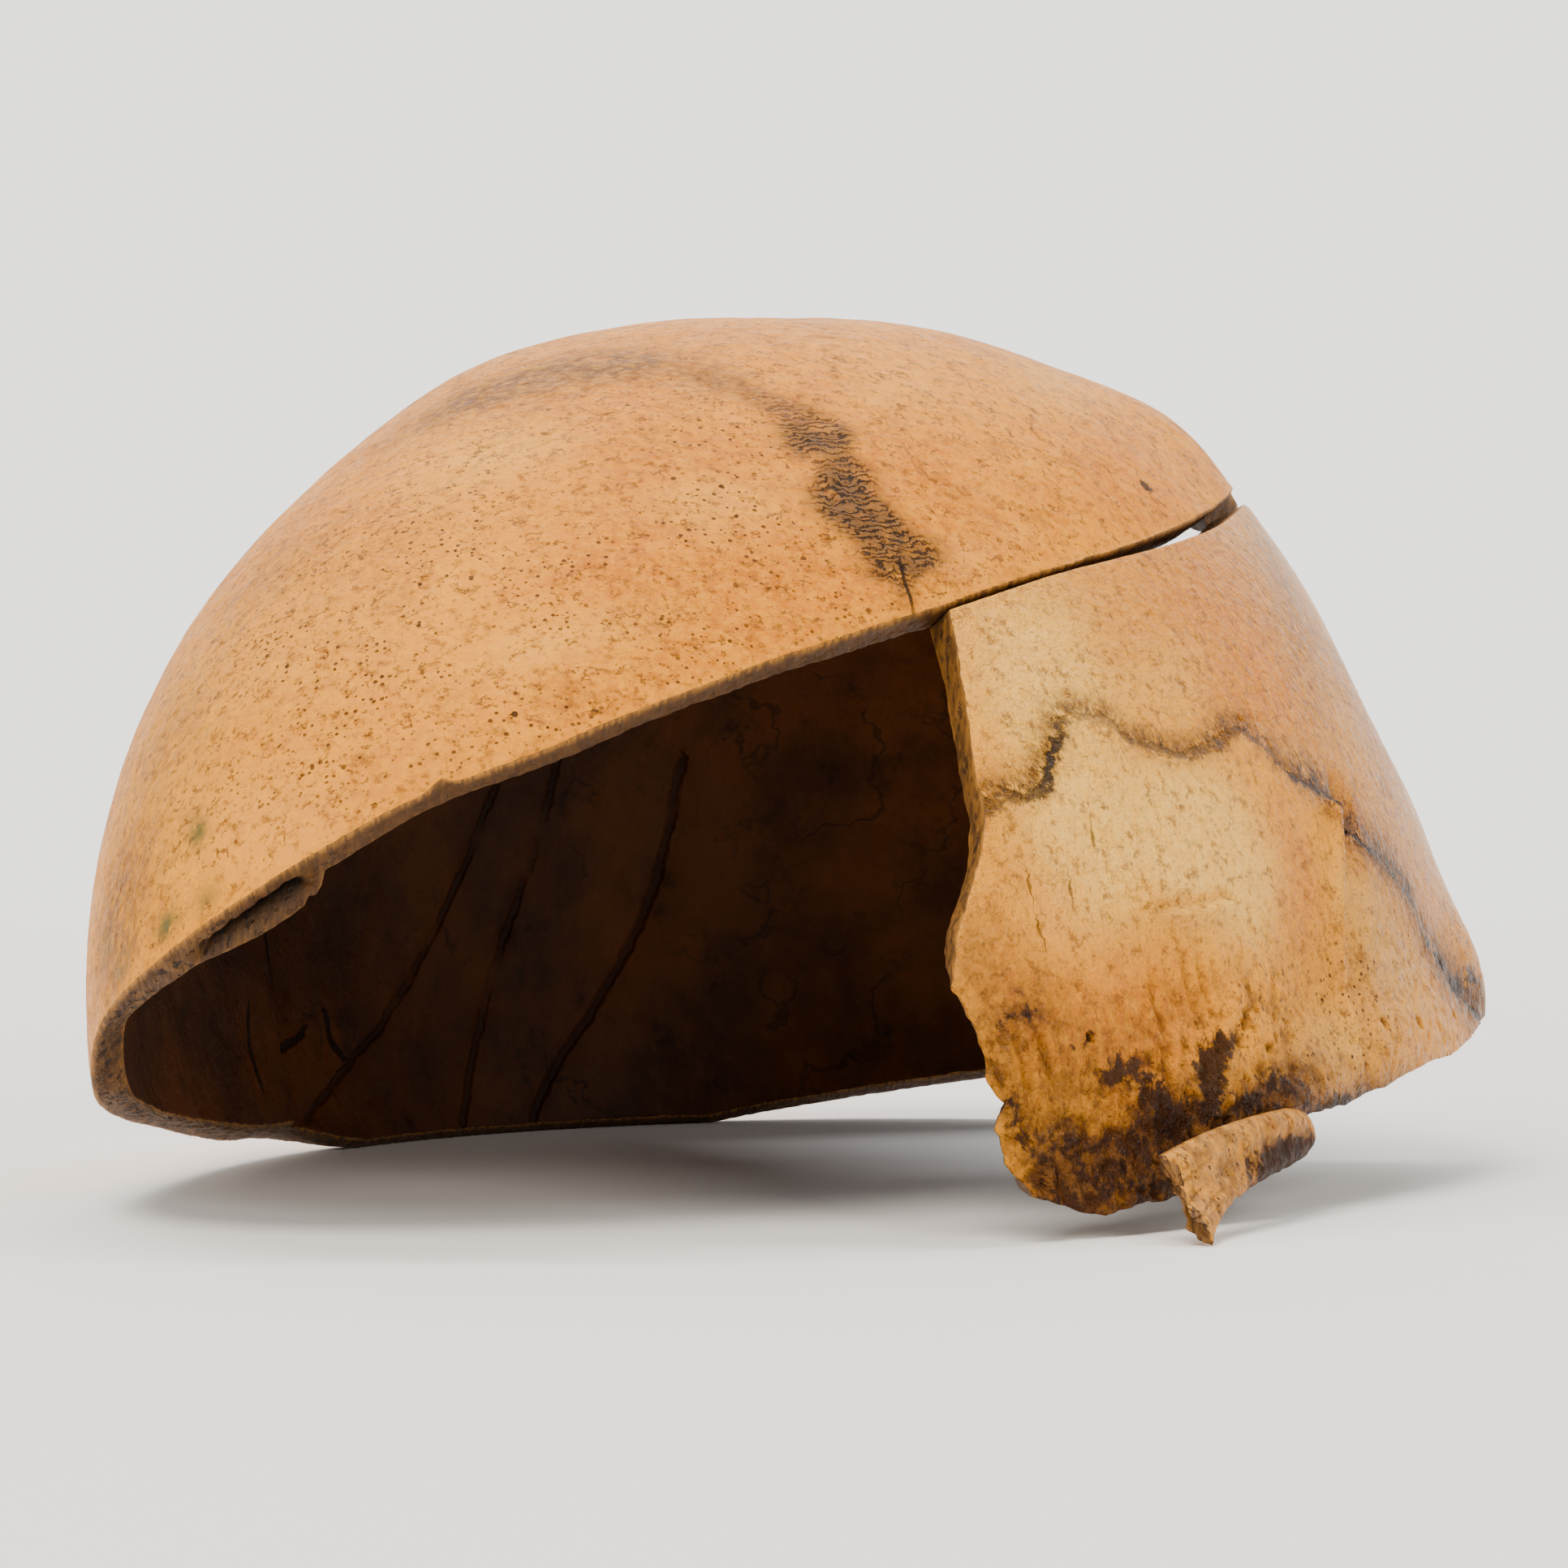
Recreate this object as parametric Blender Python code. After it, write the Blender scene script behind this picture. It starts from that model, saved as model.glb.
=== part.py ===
"""Human skull cap: the sawn cap and the piece of side wall that stands under it.

Lengths are in millimetres until the last step, which makes them metres. A place on the bone is given by
two angles at the middle of the skull: the azimuth, from the forehead round by the left ear to the back,
and the rise above the skull's own level. A point of the wall also has a depth under the outer surface.
"""
import math

import bmesh
import bpy
import numpy as np

MM = 0.001

# Size and form of the vault, a soft ellipsoid with a few slow swells
HALF_LENGTH = 90.0
HALF_BREADTH = 60.4
HALF_HEIGHT = 71.7
PLAN_ROUNDNESS = 2.04
PROFILE_ROUNDNESS = 2.13
FOREHEAD_TAPER = 0.148
LEAN_FORWARD = -0.050
CROWN_BEHIND_MIDDLE = -0.039
FLAT_CROWN_ENDS = -0.032
LONG_FOREHEAD = 0.038
PINCHED_CORNERS = -0.053
SKEW = 0.037
FULL_LEFT_CROWN = 0.086
FULL_SIDE_CROWNS = 0.025
FULL_FOREHEAD_TOP = 0.026

# Local swells and hollows: azimuth, rise and spread in degrees, and height
CROWN_SWELL = (38, 72, 10, 1.1)
CROWN_HOLLOW = (103, 60, 9, -0.9)
PARIETAL_BOSS = (121, 30, 8, 2.0)
HOLLOW_OVER_EAR = (128, 4, 7, -1.4)
CORNER_SWELL = (130, -22, 7, 2.6)
SWELLS = (CROWN_SWELL, CROWN_HOLLOW, PARIETAL_BOSS, HOLLOW_OVER_EAR, CORNER_SWELL)

# How the skull lies: its turns about X, Y and Z, and where its middle is, over the table's origin
TILT_X = math.radians(-10.43)
TILT_Y = math.radians(-29.03)
TURN_Z = math.radians(239.6)
MIDDLE = np.array([-2.33, -4.41, 12.4])

# Wall thickness, and the step inside the right temple
SIDE_WALL = 4.3
THIN_CORNER = 0.6
SCALE_WALL = 3.2
TEMPLE_STEP = 1.6
TEMPLE_STEP_AZIMUTH = 278

# The saw cut round the forehead and the left side: its level in the skull's own frame, and its width
SAW_LEVEL = 22.0
BROW_RISE = 1.8
MIDDLE_RISE = 1.5
RIGHT_FALL = 3.0
SAW_RISE_BEHIND = 0.0031
SAW_BEND_AZIMUTH = 77
SAW_CLIMB_MOST = 7.5
RIGHT_FALL_BEHIND = 1.3
SAW_GAP = 0.35
SAW_GAP_BEHIND = 1.4
BACK_CORNER_DROP = 3.0
NOTCH_DEPTH = 0.8
NOTCH_AZIMUTH = 16.2
SPLINTER_DROP = 1.6
SPLINTER_AZIMUTH = 4.5

# The cut that the cap stands on, in world height: flat between two azimuths, rising slowly past them
FLAT_FROM = 216
FLAT_TO = 258
LIFT_BEHIND = 0.22
LIFT_BEFORE = 0.03
INNER_BEVEL = 0.9
BEVEL_FROM = 0.62

# The broken bay at the back left, by azimuth, and the rise of its edge
BAY_FROM = 128
BAY_TO = 166
BAY_END = 186
BAY_RISE = 29.0

# Mesh sizes: cells across the cap, cells along and down the lower piece
CAP_CELLS = 32
PIECE_LONG = 36
PIECE_DOWN = 30

# The hooked stump of the cheek arch, from its root in the wall to its broken front: its ridge and its lower
# edge, as distances to the right of the skull's middle, behind it, and above the table
STUMP_RIDGE = ((43.6, -39.6, 8.8), (44.0, -46.5, 9.8), (38.2, -58.5, 9.4), (30.6, -70.5, 7.4))
STUMP_FOOT = ((42.8, -42.0, 5.4), (43.3, -49.5, 4.6), (39.0, -61.0, 3.4), (35.2, -74.5, 0.0))
STUMP_THICK_ROOT = 5.0
STUMP_THICK_FRONT = 2.6
STUMP_SECTIONS = 12
STUMP_SIDE_POINTS = 7
STUMP_TEETH = 1.3

# How often the radius and the rises are drawn nearer, and the angle past which an edge stays sharp
RADIUS_STEPS = 12
HALVINGS = 30
SHARP_ANGLE = math.radians(40)

# Plain colours and gloss of the two bones
HONEY_BONE = (0.55, 0.34, 0.14)
PALE_BONE = (0.62, 0.42, 0.20)
BONE_ROUGHNESS = 0.45


def rotation():
    """The matrix that turns the skull's own axes into the world's."""
    cx, sx = math.cos(TILT_X), math.sin(TILT_X)
    cy, sy = math.cos(TILT_Y), math.sin(TILT_Y)
    cz, sz = math.cos(TURN_Z), math.sin(TURN_Z)
    about_x = np.array([[1, 0, 0], [0, cx, -sx], [0, sx, cx]])
    about_y = np.array([[cy, 0, sy], [0, 1, 0], [-sy, 0, cy]])
    about_z = np.array([[cz, -sz, 0], [sz, cz, 0], [0, 0, 1]])
    return about_x @ about_y @ about_z


TURN = rotation()


def smooth(value, low, high):
    """0 below low, 1 above high, and an even slope between."""
    t = np.clip((value - low) / (high - low), 0, 1)
    return t * t * (3 - 2 * t)


def hump(value, middle, width):
    """A round hump of height 1."""
    return np.exp(-((value - middle) / width) ** 2)


def direction(azimuth, rise):
    a, r = np.radians(azimuth), np.radians(rise)
    return np.stack([np.cos(r) * np.cos(a), np.cos(r) * np.sin(a), np.sin(r)], -1)


def vault_radius(azimuth, rise):
    """Distance from the middle of the skull to the outer surface."""
    n = direction(azimuth, rise)
    x, y, z = n[..., 0], n[..., 1], n[..., 2]
    fullness = (1 + CROWN_BEHIND_MIDDLE * x * z + FLAT_CROWN_ENDS * x * x * z + LONG_FOREHEAD * x ** 3
                + PINCHED_CORNERS * x * x * y * y + SKEW * x * y + FULL_LEFT_CROWN * y * z
                + FULL_SIDE_CROWNS * y * y * z + FULL_FOREHEAD_TOP * x * z ** 3)
    along = (x - LEAN_FORWARD * z) / HALF_LENGTH
    up = np.abs(z) / HALF_HEIGHT
    radius = np.full(np.shape(x), HALF_BREADTH)
    for _ in range(RADIUS_STEPS):
        taper = 1 - FOREHEAD_TAPER * np.clip(radius * along, -1.2, 1.2)
        across = np.abs(y) / (HALF_BREADTH * taper)
        plan = (np.abs(along) ** PLAN_ROUNDNESS + across ** PLAN_ROUNDNESS) ** (1 / PLAN_ROUNDNESS)
        radius = fullness / (plan ** PROFILE_ROUNDNESS + up ** PROFILE_ROUNDNESS) ** (1 / PROFILE_ROUNDNESS)
    for centre_azimuth, centre_rise, spread, height in SWELLS:
        near = n @ direction(centre_azimuth, centre_rise)
        angle = np.degrees(np.arccos(np.clip(near, -1, 1)))
        radius = radius + height * np.exp(-(angle / spread) ** 2)
    return radius


def to_world(points):
    return points @ TURN.T + MIDDLE


def bone_point(azimuth, rise, depth):
    """A point in the skull's own frame, at a depth under the outer surface."""
    radius = vault_radius(azimuth, rise) - depth
    return direction(azimuth, rise) * radius[..., None]


def cap_wall(azimuth, rise):
    """Thickness of the cap's wall, with its thin right corner and the step inside the right temple."""
    turn = np.mod(azimuth, 360)
    wall = SIDE_WALL - THIN_CORNER * hump(turn, 338, 14)
    step = smooth(turn, TEMPLE_STEP_AZIMUTH - 1.5, TEMPLE_STEP_AZIMUTH + 1.5) * (1 - smooth(turn, 288, 320))
    return wall + TEMPLE_STEP * step * (1 - smooth(rise, 35, 55))


def rise_where(height_above, azimuth, depth, low=-62.0, high=62.0):
    """The rise at which a point of the wall meets a level, found by halving."""
    low = np.full(np.shape(azimuth), low)
    high = np.full(np.shape(azimuth), high)
    for _ in range(HALVINGS):
        middle = (low + high) / 2
        above = height_above(bone_point(azimuth, middle, depth)) > 0
        high = np.where(above, middle, high)
        low = np.where(above, low, middle)
    return (low + high) / 2


def saw_level(azimuth):
    """The saw cut's level: highest at the middle of the forehead and at the back of the left side."""
    turn = np.where(azimuth > 190, azimuth - 360, azimuth)
    climb = SAW_RISE_BEHIND * np.maximum(turn - SAW_BEND_AZIMUTH, 0) ** 2
    brow = BROW_RISE * smooth(-turn, -62, -20) + MIDDLE_RISE * smooth(-turn, -24, -12)
    fall = RIGHT_FALL * smooth(-turn, 10, 30) + RIGHT_FALL_BEHIND * smooth(-turn, 45, 78)
    return SAW_LEVEL + brow + np.minimum(climb, SAW_CLIMB_MOST) - fall


def rim_rise(azimuth, depth, inner):
    """The rise of the cap's edge all round: saw cut, standing cut and broken bay."""
    wall = cap_wall(azimuth, 20.0)
    at = depth * wall
    bevel = INNER_BEVEL * inner
    turn = np.mod(azimuth, 360)
    level = saw_level(turn) + NOTCH_DEPTH * hump(turn, NOTCH_AZIMUTH, 0.9)
    signed = np.where(turn > 190, turn - 360, turn)
    slope = 0.3 + 1.1 * hump(signed, -1, 9) + 1.1 * hump(signed, -60, 24) - 1.5 * hump(signed, -18, 5)
    level = level - inner * (slope + SPLINTER_DROP * hump(signed, SPLINTER_AZIMUTH, 2.5))
    sawn = rise_where(lambda p: p[..., 2] - level, azimuth, at)
    lift = LIFT_BEHIND * np.maximum(FLAT_FROM - turn, 0) + LIFT_BEFORE * np.maximum(turn - FLAT_TO, 0) + bevel
    stood = rise_where(lambda p: to_world(p)[..., 2] - lift, azimuth, at)
    uneven = 0.8 * np.sin(turn * 0.42) + 0.4 * np.sin(turn * 1.0 + 1)
    broken = BAY_RISE + uneven - 7 * smooth(BAY_TO - 8 - turn, 0, 34)
    standing = smooth(turn, BAY_TO, BAY_END)
    behind = broken * (1 - standing) + stood * standing
    in_bay = smooth(turn, BAY_FROM - 6, BAY_FROM + 6)
    left = sawn * (1 - in_bay) + behind * in_bay
    forward = smooth(turn, FLAT_TO, FLAT_TO + 22)
    right = stood * (1 - forward) + sawn * forward
    return np.where(turn < 200, left, right)


def disk_grid(cells):
    """A square grid drawn out to a disk: azimuth and share of the way from the crown to the rim."""
    u, v = np.meshgrid(np.linspace(-1, 1, cells + 1), np.linspace(-1, 1, cells + 1), indexing="ij")
    wide = np.abs(u) >= np.abs(v)
    big = np.where(wide, u, v)
    small = np.where(wide, v, u)
    corner = 45 * small / np.where(big == 0, 1, big)
    azimuth = np.where(wide, corner, 90 - corner) + np.where(big < 0, 180, 0)
    return np.mod(azimuth, 360), np.abs(big)


def edge_loop(cells):
    """Grid places of the square's border, once round."""
    last = cells
    loop = [(i, 0) for i in range(last)] + [(last, j) for j in range(last)]
    return loop + [(i, last) for i in range(last, 0, -1)] + [(0, j) for j in range(last, 0, -1)]


def grid_faces(columns, rows, first, flip):
    """Faces of a grid whose points are numbered from first, row by row."""
    faces = []
    for i in range(columns):
        for j in range(rows):
            a = first + i * (rows + 1) + j
            b = a + rows + 1
            face = (a, b, b + 1, a + 1)
            faces.append(face[::-1] if flip else face)
    return faces


def shell_mesh(name, outer, inner, between, cells, loop):
    """A closed wall: an outer and an inner grid, and two strips that meet in a line between them."""
    columns, rows = cells
    points = np.concatenate([outer.reshape(-1, 3), inner.reshape(-1, 3)])
    half = (columns + 1) * (rows + 1)
    faces = grid_faces(columns, rows, 0, False) + grid_faces(columns, rows, half, True)
    out_loop = [i * (rows + 1) + j for i, j in loop]
    count = len(loop)
    rims = [out_loop, list(range(len(points), len(points) + count)), [half + k for k in out_loop]]
    points = np.concatenate([points, between])
    for near, far in zip(rims, rims[1:]):
        for k in range(count):
            m = (k + 1) % count
            faces.append((near[m], near[k], far[k], far[m]))
    mesh = bpy.data.meshes.new(name)
    mesh.from_pydata((to_world(points) * MM).tolist(), [], faces)
    return mesh


def add_object(name, mesh, material):
    """Put a mesh in the scene as triangles with its faces turned out."""
    work = bmesh.new()
    work.from_mesh(mesh)
    bmesh.ops.triangulate(work, faces=work.faces[:])
    bmesh.ops.recalc_face_normals(work, faces=work.faces[:])
    work.to_mesh(mesh)
    work.free()
    mesh.materials.append(material)
    mesh.shade_smooth()
    mesh.set_sharp_from_angle(angle=SHARP_ANGLE)
    thing = bpy.data.objects.new(name, mesh)
    bpy.context.scene.collection.objects.link(thing)
    return thing


def bone_material(name, colour, roughness):
    material = bpy.data.materials.new(name)
    material.use_nodes = True
    shader = material.node_tree.nodes["Principled BSDF"]
    shader.inputs["Base Color"].default_value = (*colour, 1)
    shader.inputs["Roughness"].default_value = roughness
    shader.inputs["Metallic"].default_value = 0
    return material


def build_cap(material):
    """The cap: crown to rim, outside and inside, closed along its edge."""
    azimuth, share = disk_grid(CAP_CELLS)
    outer_rise = 90 - share * (90 - rim_rise(azimuth, 0.0, 0))
    outer = bone_point(azimuth, outer_rise, 0.0)
    inner_rise = 90 - share * (90 - rim_rise(azimuth, 1.0, 1))
    wall = cap_wall(azimuth, inner_rise)
    inner = bone_point(azimuth, inner_rise, wall)
    loop = edge_loop(CAP_CELLS)
    edge = np.array([azimuth[place] for place in loop])
    edge_wall = cap_wall(edge, rim_rise(edge, 1.0, 1))
    between = bone_point(edge, rim_rise(edge, BEVEL_FROM, 0), BEVEL_FROM * edge_wall)
    mesh = shell_mesh("skull_cap", outer, inner, between, (CAP_CELLS, CAP_CELLS), loop)
    return add_object("skull_cap", mesh, material)


def along(points, share):
    """A smooth curve through hand-set points of azimuth and rise, by share of its length."""
    points = np.array(points, float)
    steps = np.linalg.norm(np.diff(points, axis=0), axis=1)
    place = np.concatenate([[0], np.cumsum(steps)]) / steps.sum()
    return np.stack([np.interp(share, place, points[:, k]) for k in (0, 1)], -1)


# The lower piece's edges, by azimuth and rise: broken front, ragged foot and broken back
PIECE_FRONT = [(56.8, 0), (53.1, 12.6), (50.3, 7.5), (48.2, 2.9), (45.8, -0.2), (41.3, -4.0), (39.4, -6.3),
               (38.1, -9.5), (37.8, -11.9), (37.9, -14.4), (38.3, -16.1), (36.7, -17.0), (35.9, -19.9),
               (36.4, -22.2)]
PIECE_FOOT = [(36.4, -22.2), (41.2, -26.6), (47.6, -28.8), (58.0, -32.0), (70.3, -31.1), (88.9, -32.0),
              (109.9, -30.2), (120.0, -28.0), (131.0, -24.5), (138.0, -20.0)]
PIECE_BACK = [(126.0, 0), (131.0, 16.0), (138.0, 6.0), (142.0, -5.0), (141.0, -14.0), (138.0, -20.0)]
SCALE_SUTURE = [(36.0, 4.6), (49.0, 4.2), (55.6, 3.0), (60.9, 7.5), (64.6, 8.2), (67.0, 7.1), (67.8, 3.8),
                (72.2, 1.8), (83.6, 1.7), (91.3, -3.1), (97.1, -6.7), (104.3, -11.6), (111.5, -17.5),
                (113.0, -21.5), (131.0, -27.1), (150.0, -30.0)]
SCALE_LEDGE = 0.5
FOOT_ROUGHNESS = 0.35
EDGE_TEETH = 0.7
BACK_TEETH = 1.1


def piece_top(azimuth, wall):
    """The sawn top edge of the lower piece, below the cap's by the saw's gap, its back corner rounded."""
    gap = SAW_GAP + (SAW_GAP_BEHIND - SAW_GAP) * smooth(azimuth, 60, 92)
    gap = gap + BACK_CORNER_DROP * smooth(azimuth, 118, 127)
    level = saw_level(azimuth) - gap
    return rise_where(lambda p: p[..., 2] - level, azimuth, wall)


def ragged(place, seed):
    """An uneven broken edge, by a place along it."""
    waves = np.sin(place * 1.9 + seed) + 0.8 * np.sin(place * 4.7 + 2.1 * seed)
    waves = waves + 0.6 * np.sin(place * 9.1 + seed)
    return waves / 2.4


def patch(front, foot, back, top, columns, rows):
    """Fill four edges of azimuth and rise with a grid."""
    s = np.linspace(0, 1, columns + 1)[:, None, None]
    t = np.linspace(0, 1, rows + 1)[None, :, None]
    sides = (1 - s) * front[None] + s * back[None]
    ends = (1 - t) * top[:, None] + t * foot[:, None]
    corners = (1 - s) * ((1 - t) * top[0] + t * foot[0]) + s * ((1 - t) * top[-1] + t * foot[-1])
    return sides + ends - corners


def ledge(azimuth, rise):
    """The scale of the temple bone laps over the bone above it by a low ledge."""
    suture = np.array(SCALE_SUTURE)
    edge = np.interp(azimuth, suture[:, 0], suture[:, 1])
    return SCALE_LEDGE * smooth(edge - rise, -0.6, 1.2)


def rough_foot(azimuth, rise):
    """Low ridges and pits near the ragged foot, where muscle and the ear's bone were joined on."""
    near = smooth(-rise, 14, 22) * (1 - smooth(-rise, 27, 31))
    ridges = np.sin(azimuth * 0.31 + rise * 0.5) * np.sin(azimuth * 0.17 + 2)
    ridges = ridges + 0.6 * np.sin(azimuth * 0.8 - rise * 0.8)
    return FOOT_ROUGHNESS * near * ridges


def piece_places(depth_share):
    """Azimuth, rise and depth of one side of the lower piece's wall."""
    s = np.linspace(0, 1, PIECE_LONG + 1)
    t = np.linspace(0, 1, PIECE_DOWN + 1)
    top_azimuth = PIECE_FRONT[0][0] + (PIECE_BACK[0][0] - PIECE_FRONT[0][0]) * s
    depth = SIDE_WALL * depth_share
    top = np.stack([top_azimuth, piece_top(top_azimuth, depth)], -1)
    front = along([tuple(top[0])] + PIECE_FRONT[1:], t)
    back = along([tuple(top[-1])] + PIECE_BACK[1:], t)
    foot = along(PIECE_FOOT, s)
    ends_t = smooth(t, 0.0, 0.1) * (1 - smooth(t, 0.93, 1.0))
    ends_s = smooth(s, 0.0, 0.06) * (1 - smooth(s, 0.94, 1.0))
    front[:, 0] += ends_t * (EDGE_TEETH * ragged(40 * t, 1) + 1.3 * depth_share * smooth(t, 0.55, 0.8))
    back[:, 0] += BACK_TEETH * ends_t * ragged(40 * t, 4)
    foot[:, 1] += ends_s * (EDGE_TEETH * ragged(60 * s, 2) + 1.2 * depth_share)
    places = patch(front, foot, back, top, PIECE_LONG, PIECE_DOWN)
    azimuth, rise = places[..., 0], places[..., 1]
    wall = SIDE_WALL + (SCALE_WALL - SIDE_WALL) * smooth(-rise, -12, 12)
    return azimuth, rise, wall * depth_share


def build_piece(material):
    """The piece of side wall, as a curved plate of bone."""
    azimuth, rise, _ = piece_places(0.0)
    outer = bone_point(azimuth, rise, -ledge(azimuth, rise) - rough_foot(azimuth, rise))
    azimuth, rise, depth = piece_places(1.0)
    inner = bone_point(azimuth, rise, depth)
    loop = [(i, 0) for i in range(PIECE_LONG)] + [(PIECE_LONG, j) for j in range(PIECE_DOWN)]
    loop += [(i, PIECE_DOWN) for i in range(PIECE_LONG, 0, -1)] + [(0, j) for j in range(PIECE_DOWN, 0, -1)]
    between = np.array([(outer[place] + inner[place]) / 2 for place in loop])
    mesh = shell_mesh("temporal_piece", outer, inner, between, (PIECE_LONG, PIECE_DOWN), loop)
    return add_object("temporal_piece", mesh, material)


def curve_through(points, share):
    """A round curve through four points, by share of the way."""
    points = np.array(points)
    knots = np.linspace(0, 1, len(points))
    weights = [np.prod([(share - k) / (own - k) for k in knots if k != own], axis=0) for own in knots]
    return sum(w * p for w, p in zip(weights, points))


def build_stump(material):
    """The cheek arch's stump: a thin plate hooked forward and down, its front edge broken in teeth."""
    sections = []
    for k in range(STUMP_SECTIONS + 1):
        share = k / STUMP_SECTIONS
        ridge = curve_through(STUMP_RIDGE, share)
        foot = curve_through(STUMP_FOOT, share)
        before = curve_through(STUMP_RIDGE, max(share - 0.02, 0))
        after = curve_through(STUMP_RIDGE, min(share + 0.02, 1))
        ahead = after - before
        ahead = ahead / np.linalg.norm(ahead)
        side = np.cross(ahead, ridge - foot)
        side = side / np.linalg.norm(side)
        thick = STUMP_THICK_ROOT + (STUMP_THICK_FRONT - STUMP_THICK_ROOT) * share
        ring = []
        for j in range(2 * STUMP_SIDE_POINTS):
            round_way = j / STUMP_SIDE_POINTS
            up = 1 - abs(1 - round_way)
            belly = math.copysign(max(math.sin(math.pi * up), 0) ** 0.6, 1 - round_way)
            tooth = (STUMP_TEETH if share == 1 else 0.0) * float(ragged(np.array(14 * up), 3)) * abs(belly)
            ring.append(foot + (ridge - foot) * up + side * thick / 2 * belly + ahead * tooth)
        sections.append(ring)
    count = 2 * STUMP_SIDE_POINTS
    points = [p for ring in sections for p in ring]
    faces = [tuple(range(count)), tuple(range(STUMP_SECTIONS * count, (STUMP_SECTIONS + 1) * count))]
    for k in range(STUMP_SECTIONS):
        for j in range(count):
            m = (j + 1) % count
            faces.append((k * count + j, k * count + m, (k + 1) * count + m, (k + 1) * count + j))
    mesh = bpy.data.meshes.new("stump")
    under_middle = np.array([MIDDLE[0], MIDDLE[1], 0])
    mesh.from_pydata(((np.array(points) + under_middle) * MM).tolist(), [], faces)
    stump = add_object("stump", mesh, material)
    stump.hide_render = True
    stump.display_type = "WIRE"
    return stump


def join_on(thing, other):
    """Make one body of two that meet."""
    union = thing.modifiers.new("joined", "BOOLEAN")
    union.operation = "UNION"
    union.solver = "EXACT"
    union.object = other


def main():
    for thing in list(bpy.data.objects):
        bpy.data.objects.remove(thing, do_unlink=True)
    cap_bone = bone_material("honey_bone", HONEY_BONE, BONE_ROUGHNESS)
    piece_bone = bone_material("pale_bone", PALE_BONE, BONE_ROUGHNESS)
    build_cap(cap_bone)
    join_on(build_piece(piece_bone), build_stump(piece_bone))


main()
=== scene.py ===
"""Human skull cap in old, honey-coloured bone: the sawn cap and the piece of left side wall under it.

A place on the bone is given by two angles at the middle of the skull, in degrees: the azimuth, from the
forehead round by the left ear to the back, and the rise above the skull's own level. Depth under the outer
surface is in millimetres. The shapes are worked out in millimetres and made metres at the end.
"""
import math
from functools import partial

import bmesh
import bpy
import numpy as np
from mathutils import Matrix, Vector, noise


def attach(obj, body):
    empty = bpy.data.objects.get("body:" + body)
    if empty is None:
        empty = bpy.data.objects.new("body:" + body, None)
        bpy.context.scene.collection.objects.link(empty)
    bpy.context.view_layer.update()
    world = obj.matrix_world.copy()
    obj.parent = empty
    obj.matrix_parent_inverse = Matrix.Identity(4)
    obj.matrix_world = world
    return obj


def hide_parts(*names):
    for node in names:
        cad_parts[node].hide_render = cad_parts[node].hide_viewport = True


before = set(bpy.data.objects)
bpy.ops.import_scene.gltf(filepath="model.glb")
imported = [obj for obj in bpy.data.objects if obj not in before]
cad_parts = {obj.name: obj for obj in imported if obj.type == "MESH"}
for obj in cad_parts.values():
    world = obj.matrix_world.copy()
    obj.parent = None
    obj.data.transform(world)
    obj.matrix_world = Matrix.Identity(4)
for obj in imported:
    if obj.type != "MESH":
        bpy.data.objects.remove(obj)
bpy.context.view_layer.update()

MM = 0.001

# The vault, as in the CAD source
HALF_LENGTH = 90.0
HALF_BREADTH = 60.4
HALF_HEIGHT = 71.7
PLAN_ROUNDNESS = 2.04
PROFILE_ROUNDNESS = 2.13
FOREHEAD_TAPER = 0.148
LEAN_FORWARD = -0.050
CROWN_BEHIND_MIDDLE = -0.039
FLAT_CROWN_ENDS = -0.032
LONG_FOREHEAD = 0.038
PINCHED_CORNERS = -0.053
SKEW = 0.037
FULL_LEFT_CROWN = 0.086
FULL_SIDE_CROWNS = 0.025
FULL_FOREHEAD_TOP = 0.026
SWELLS = ((38, 72, 10, 1.1), (103, 60, 9, -0.9), (121, 30, 8, 2.0), (128, 4, 7, -1.4), (130, -22, 7, 2.6))
TILT_X = math.radians(-10.43)
TILT_Y = math.radians(-29.03)
TURN_Z = math.radians(239.6)
MIDDLE = np.array([-2.33, -4.41, 12.4])
RADIUS_STEPS = 12
HALVINGS = 26

# Walls, saw cut, standing cut and broken bay, as in the CAD source
SIDE_WALL = 4.3
THIN_CORNER = 0.6
SCALE_WALL = 3.2
TEMPLE_STEP = 1.6
TEMPLE_STEP_AZIMUTH = 278
SAW_LEVEL = 22.0
BROW_RISE = 1.8
MIDDLE_RISE = 1.5
RIGHT_FALL = 3.0
RIGHT_FALL_BEHIND = 1.3
SAW_RISE_BEHIND = 0.0031
SAW_BEND_AZIMUTH = 77
SAW_CLIMB_MOST = 7.5
SAW_GAP = 0.35
SAW_GAP_BEHIND = 1.4
BACK_CORNER_DROP = 3.0
FLAT_FROM = 216
FLAT_TO = 258
LIFT_BEHIND = 0.22
LIFT_BEFORE = 0.03
INNER_BEVEL = 0.9
BEVEL_FROM = 0.62
BAY_FROM = 128
BAY_TO = 166
BAY_END = 186
BAY_RISE = 29.0
BAY_LOWER_BEHIND = 7

# Fineness of the shown bone: cells across the cap, along and down the lower piece
CAP_CELLS = 194
PIECE_LONG = 236
PIECE_DOWN = 168

# Millimetres of the surface to one radian, for the marks, and how deep under the vault the cap's skin lies
MARKS_RADIUS = 68.0
CAP_RADIUS = 72
PIECE_RADIUS = 66
SKIN_SET_IN = 0.14


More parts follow.
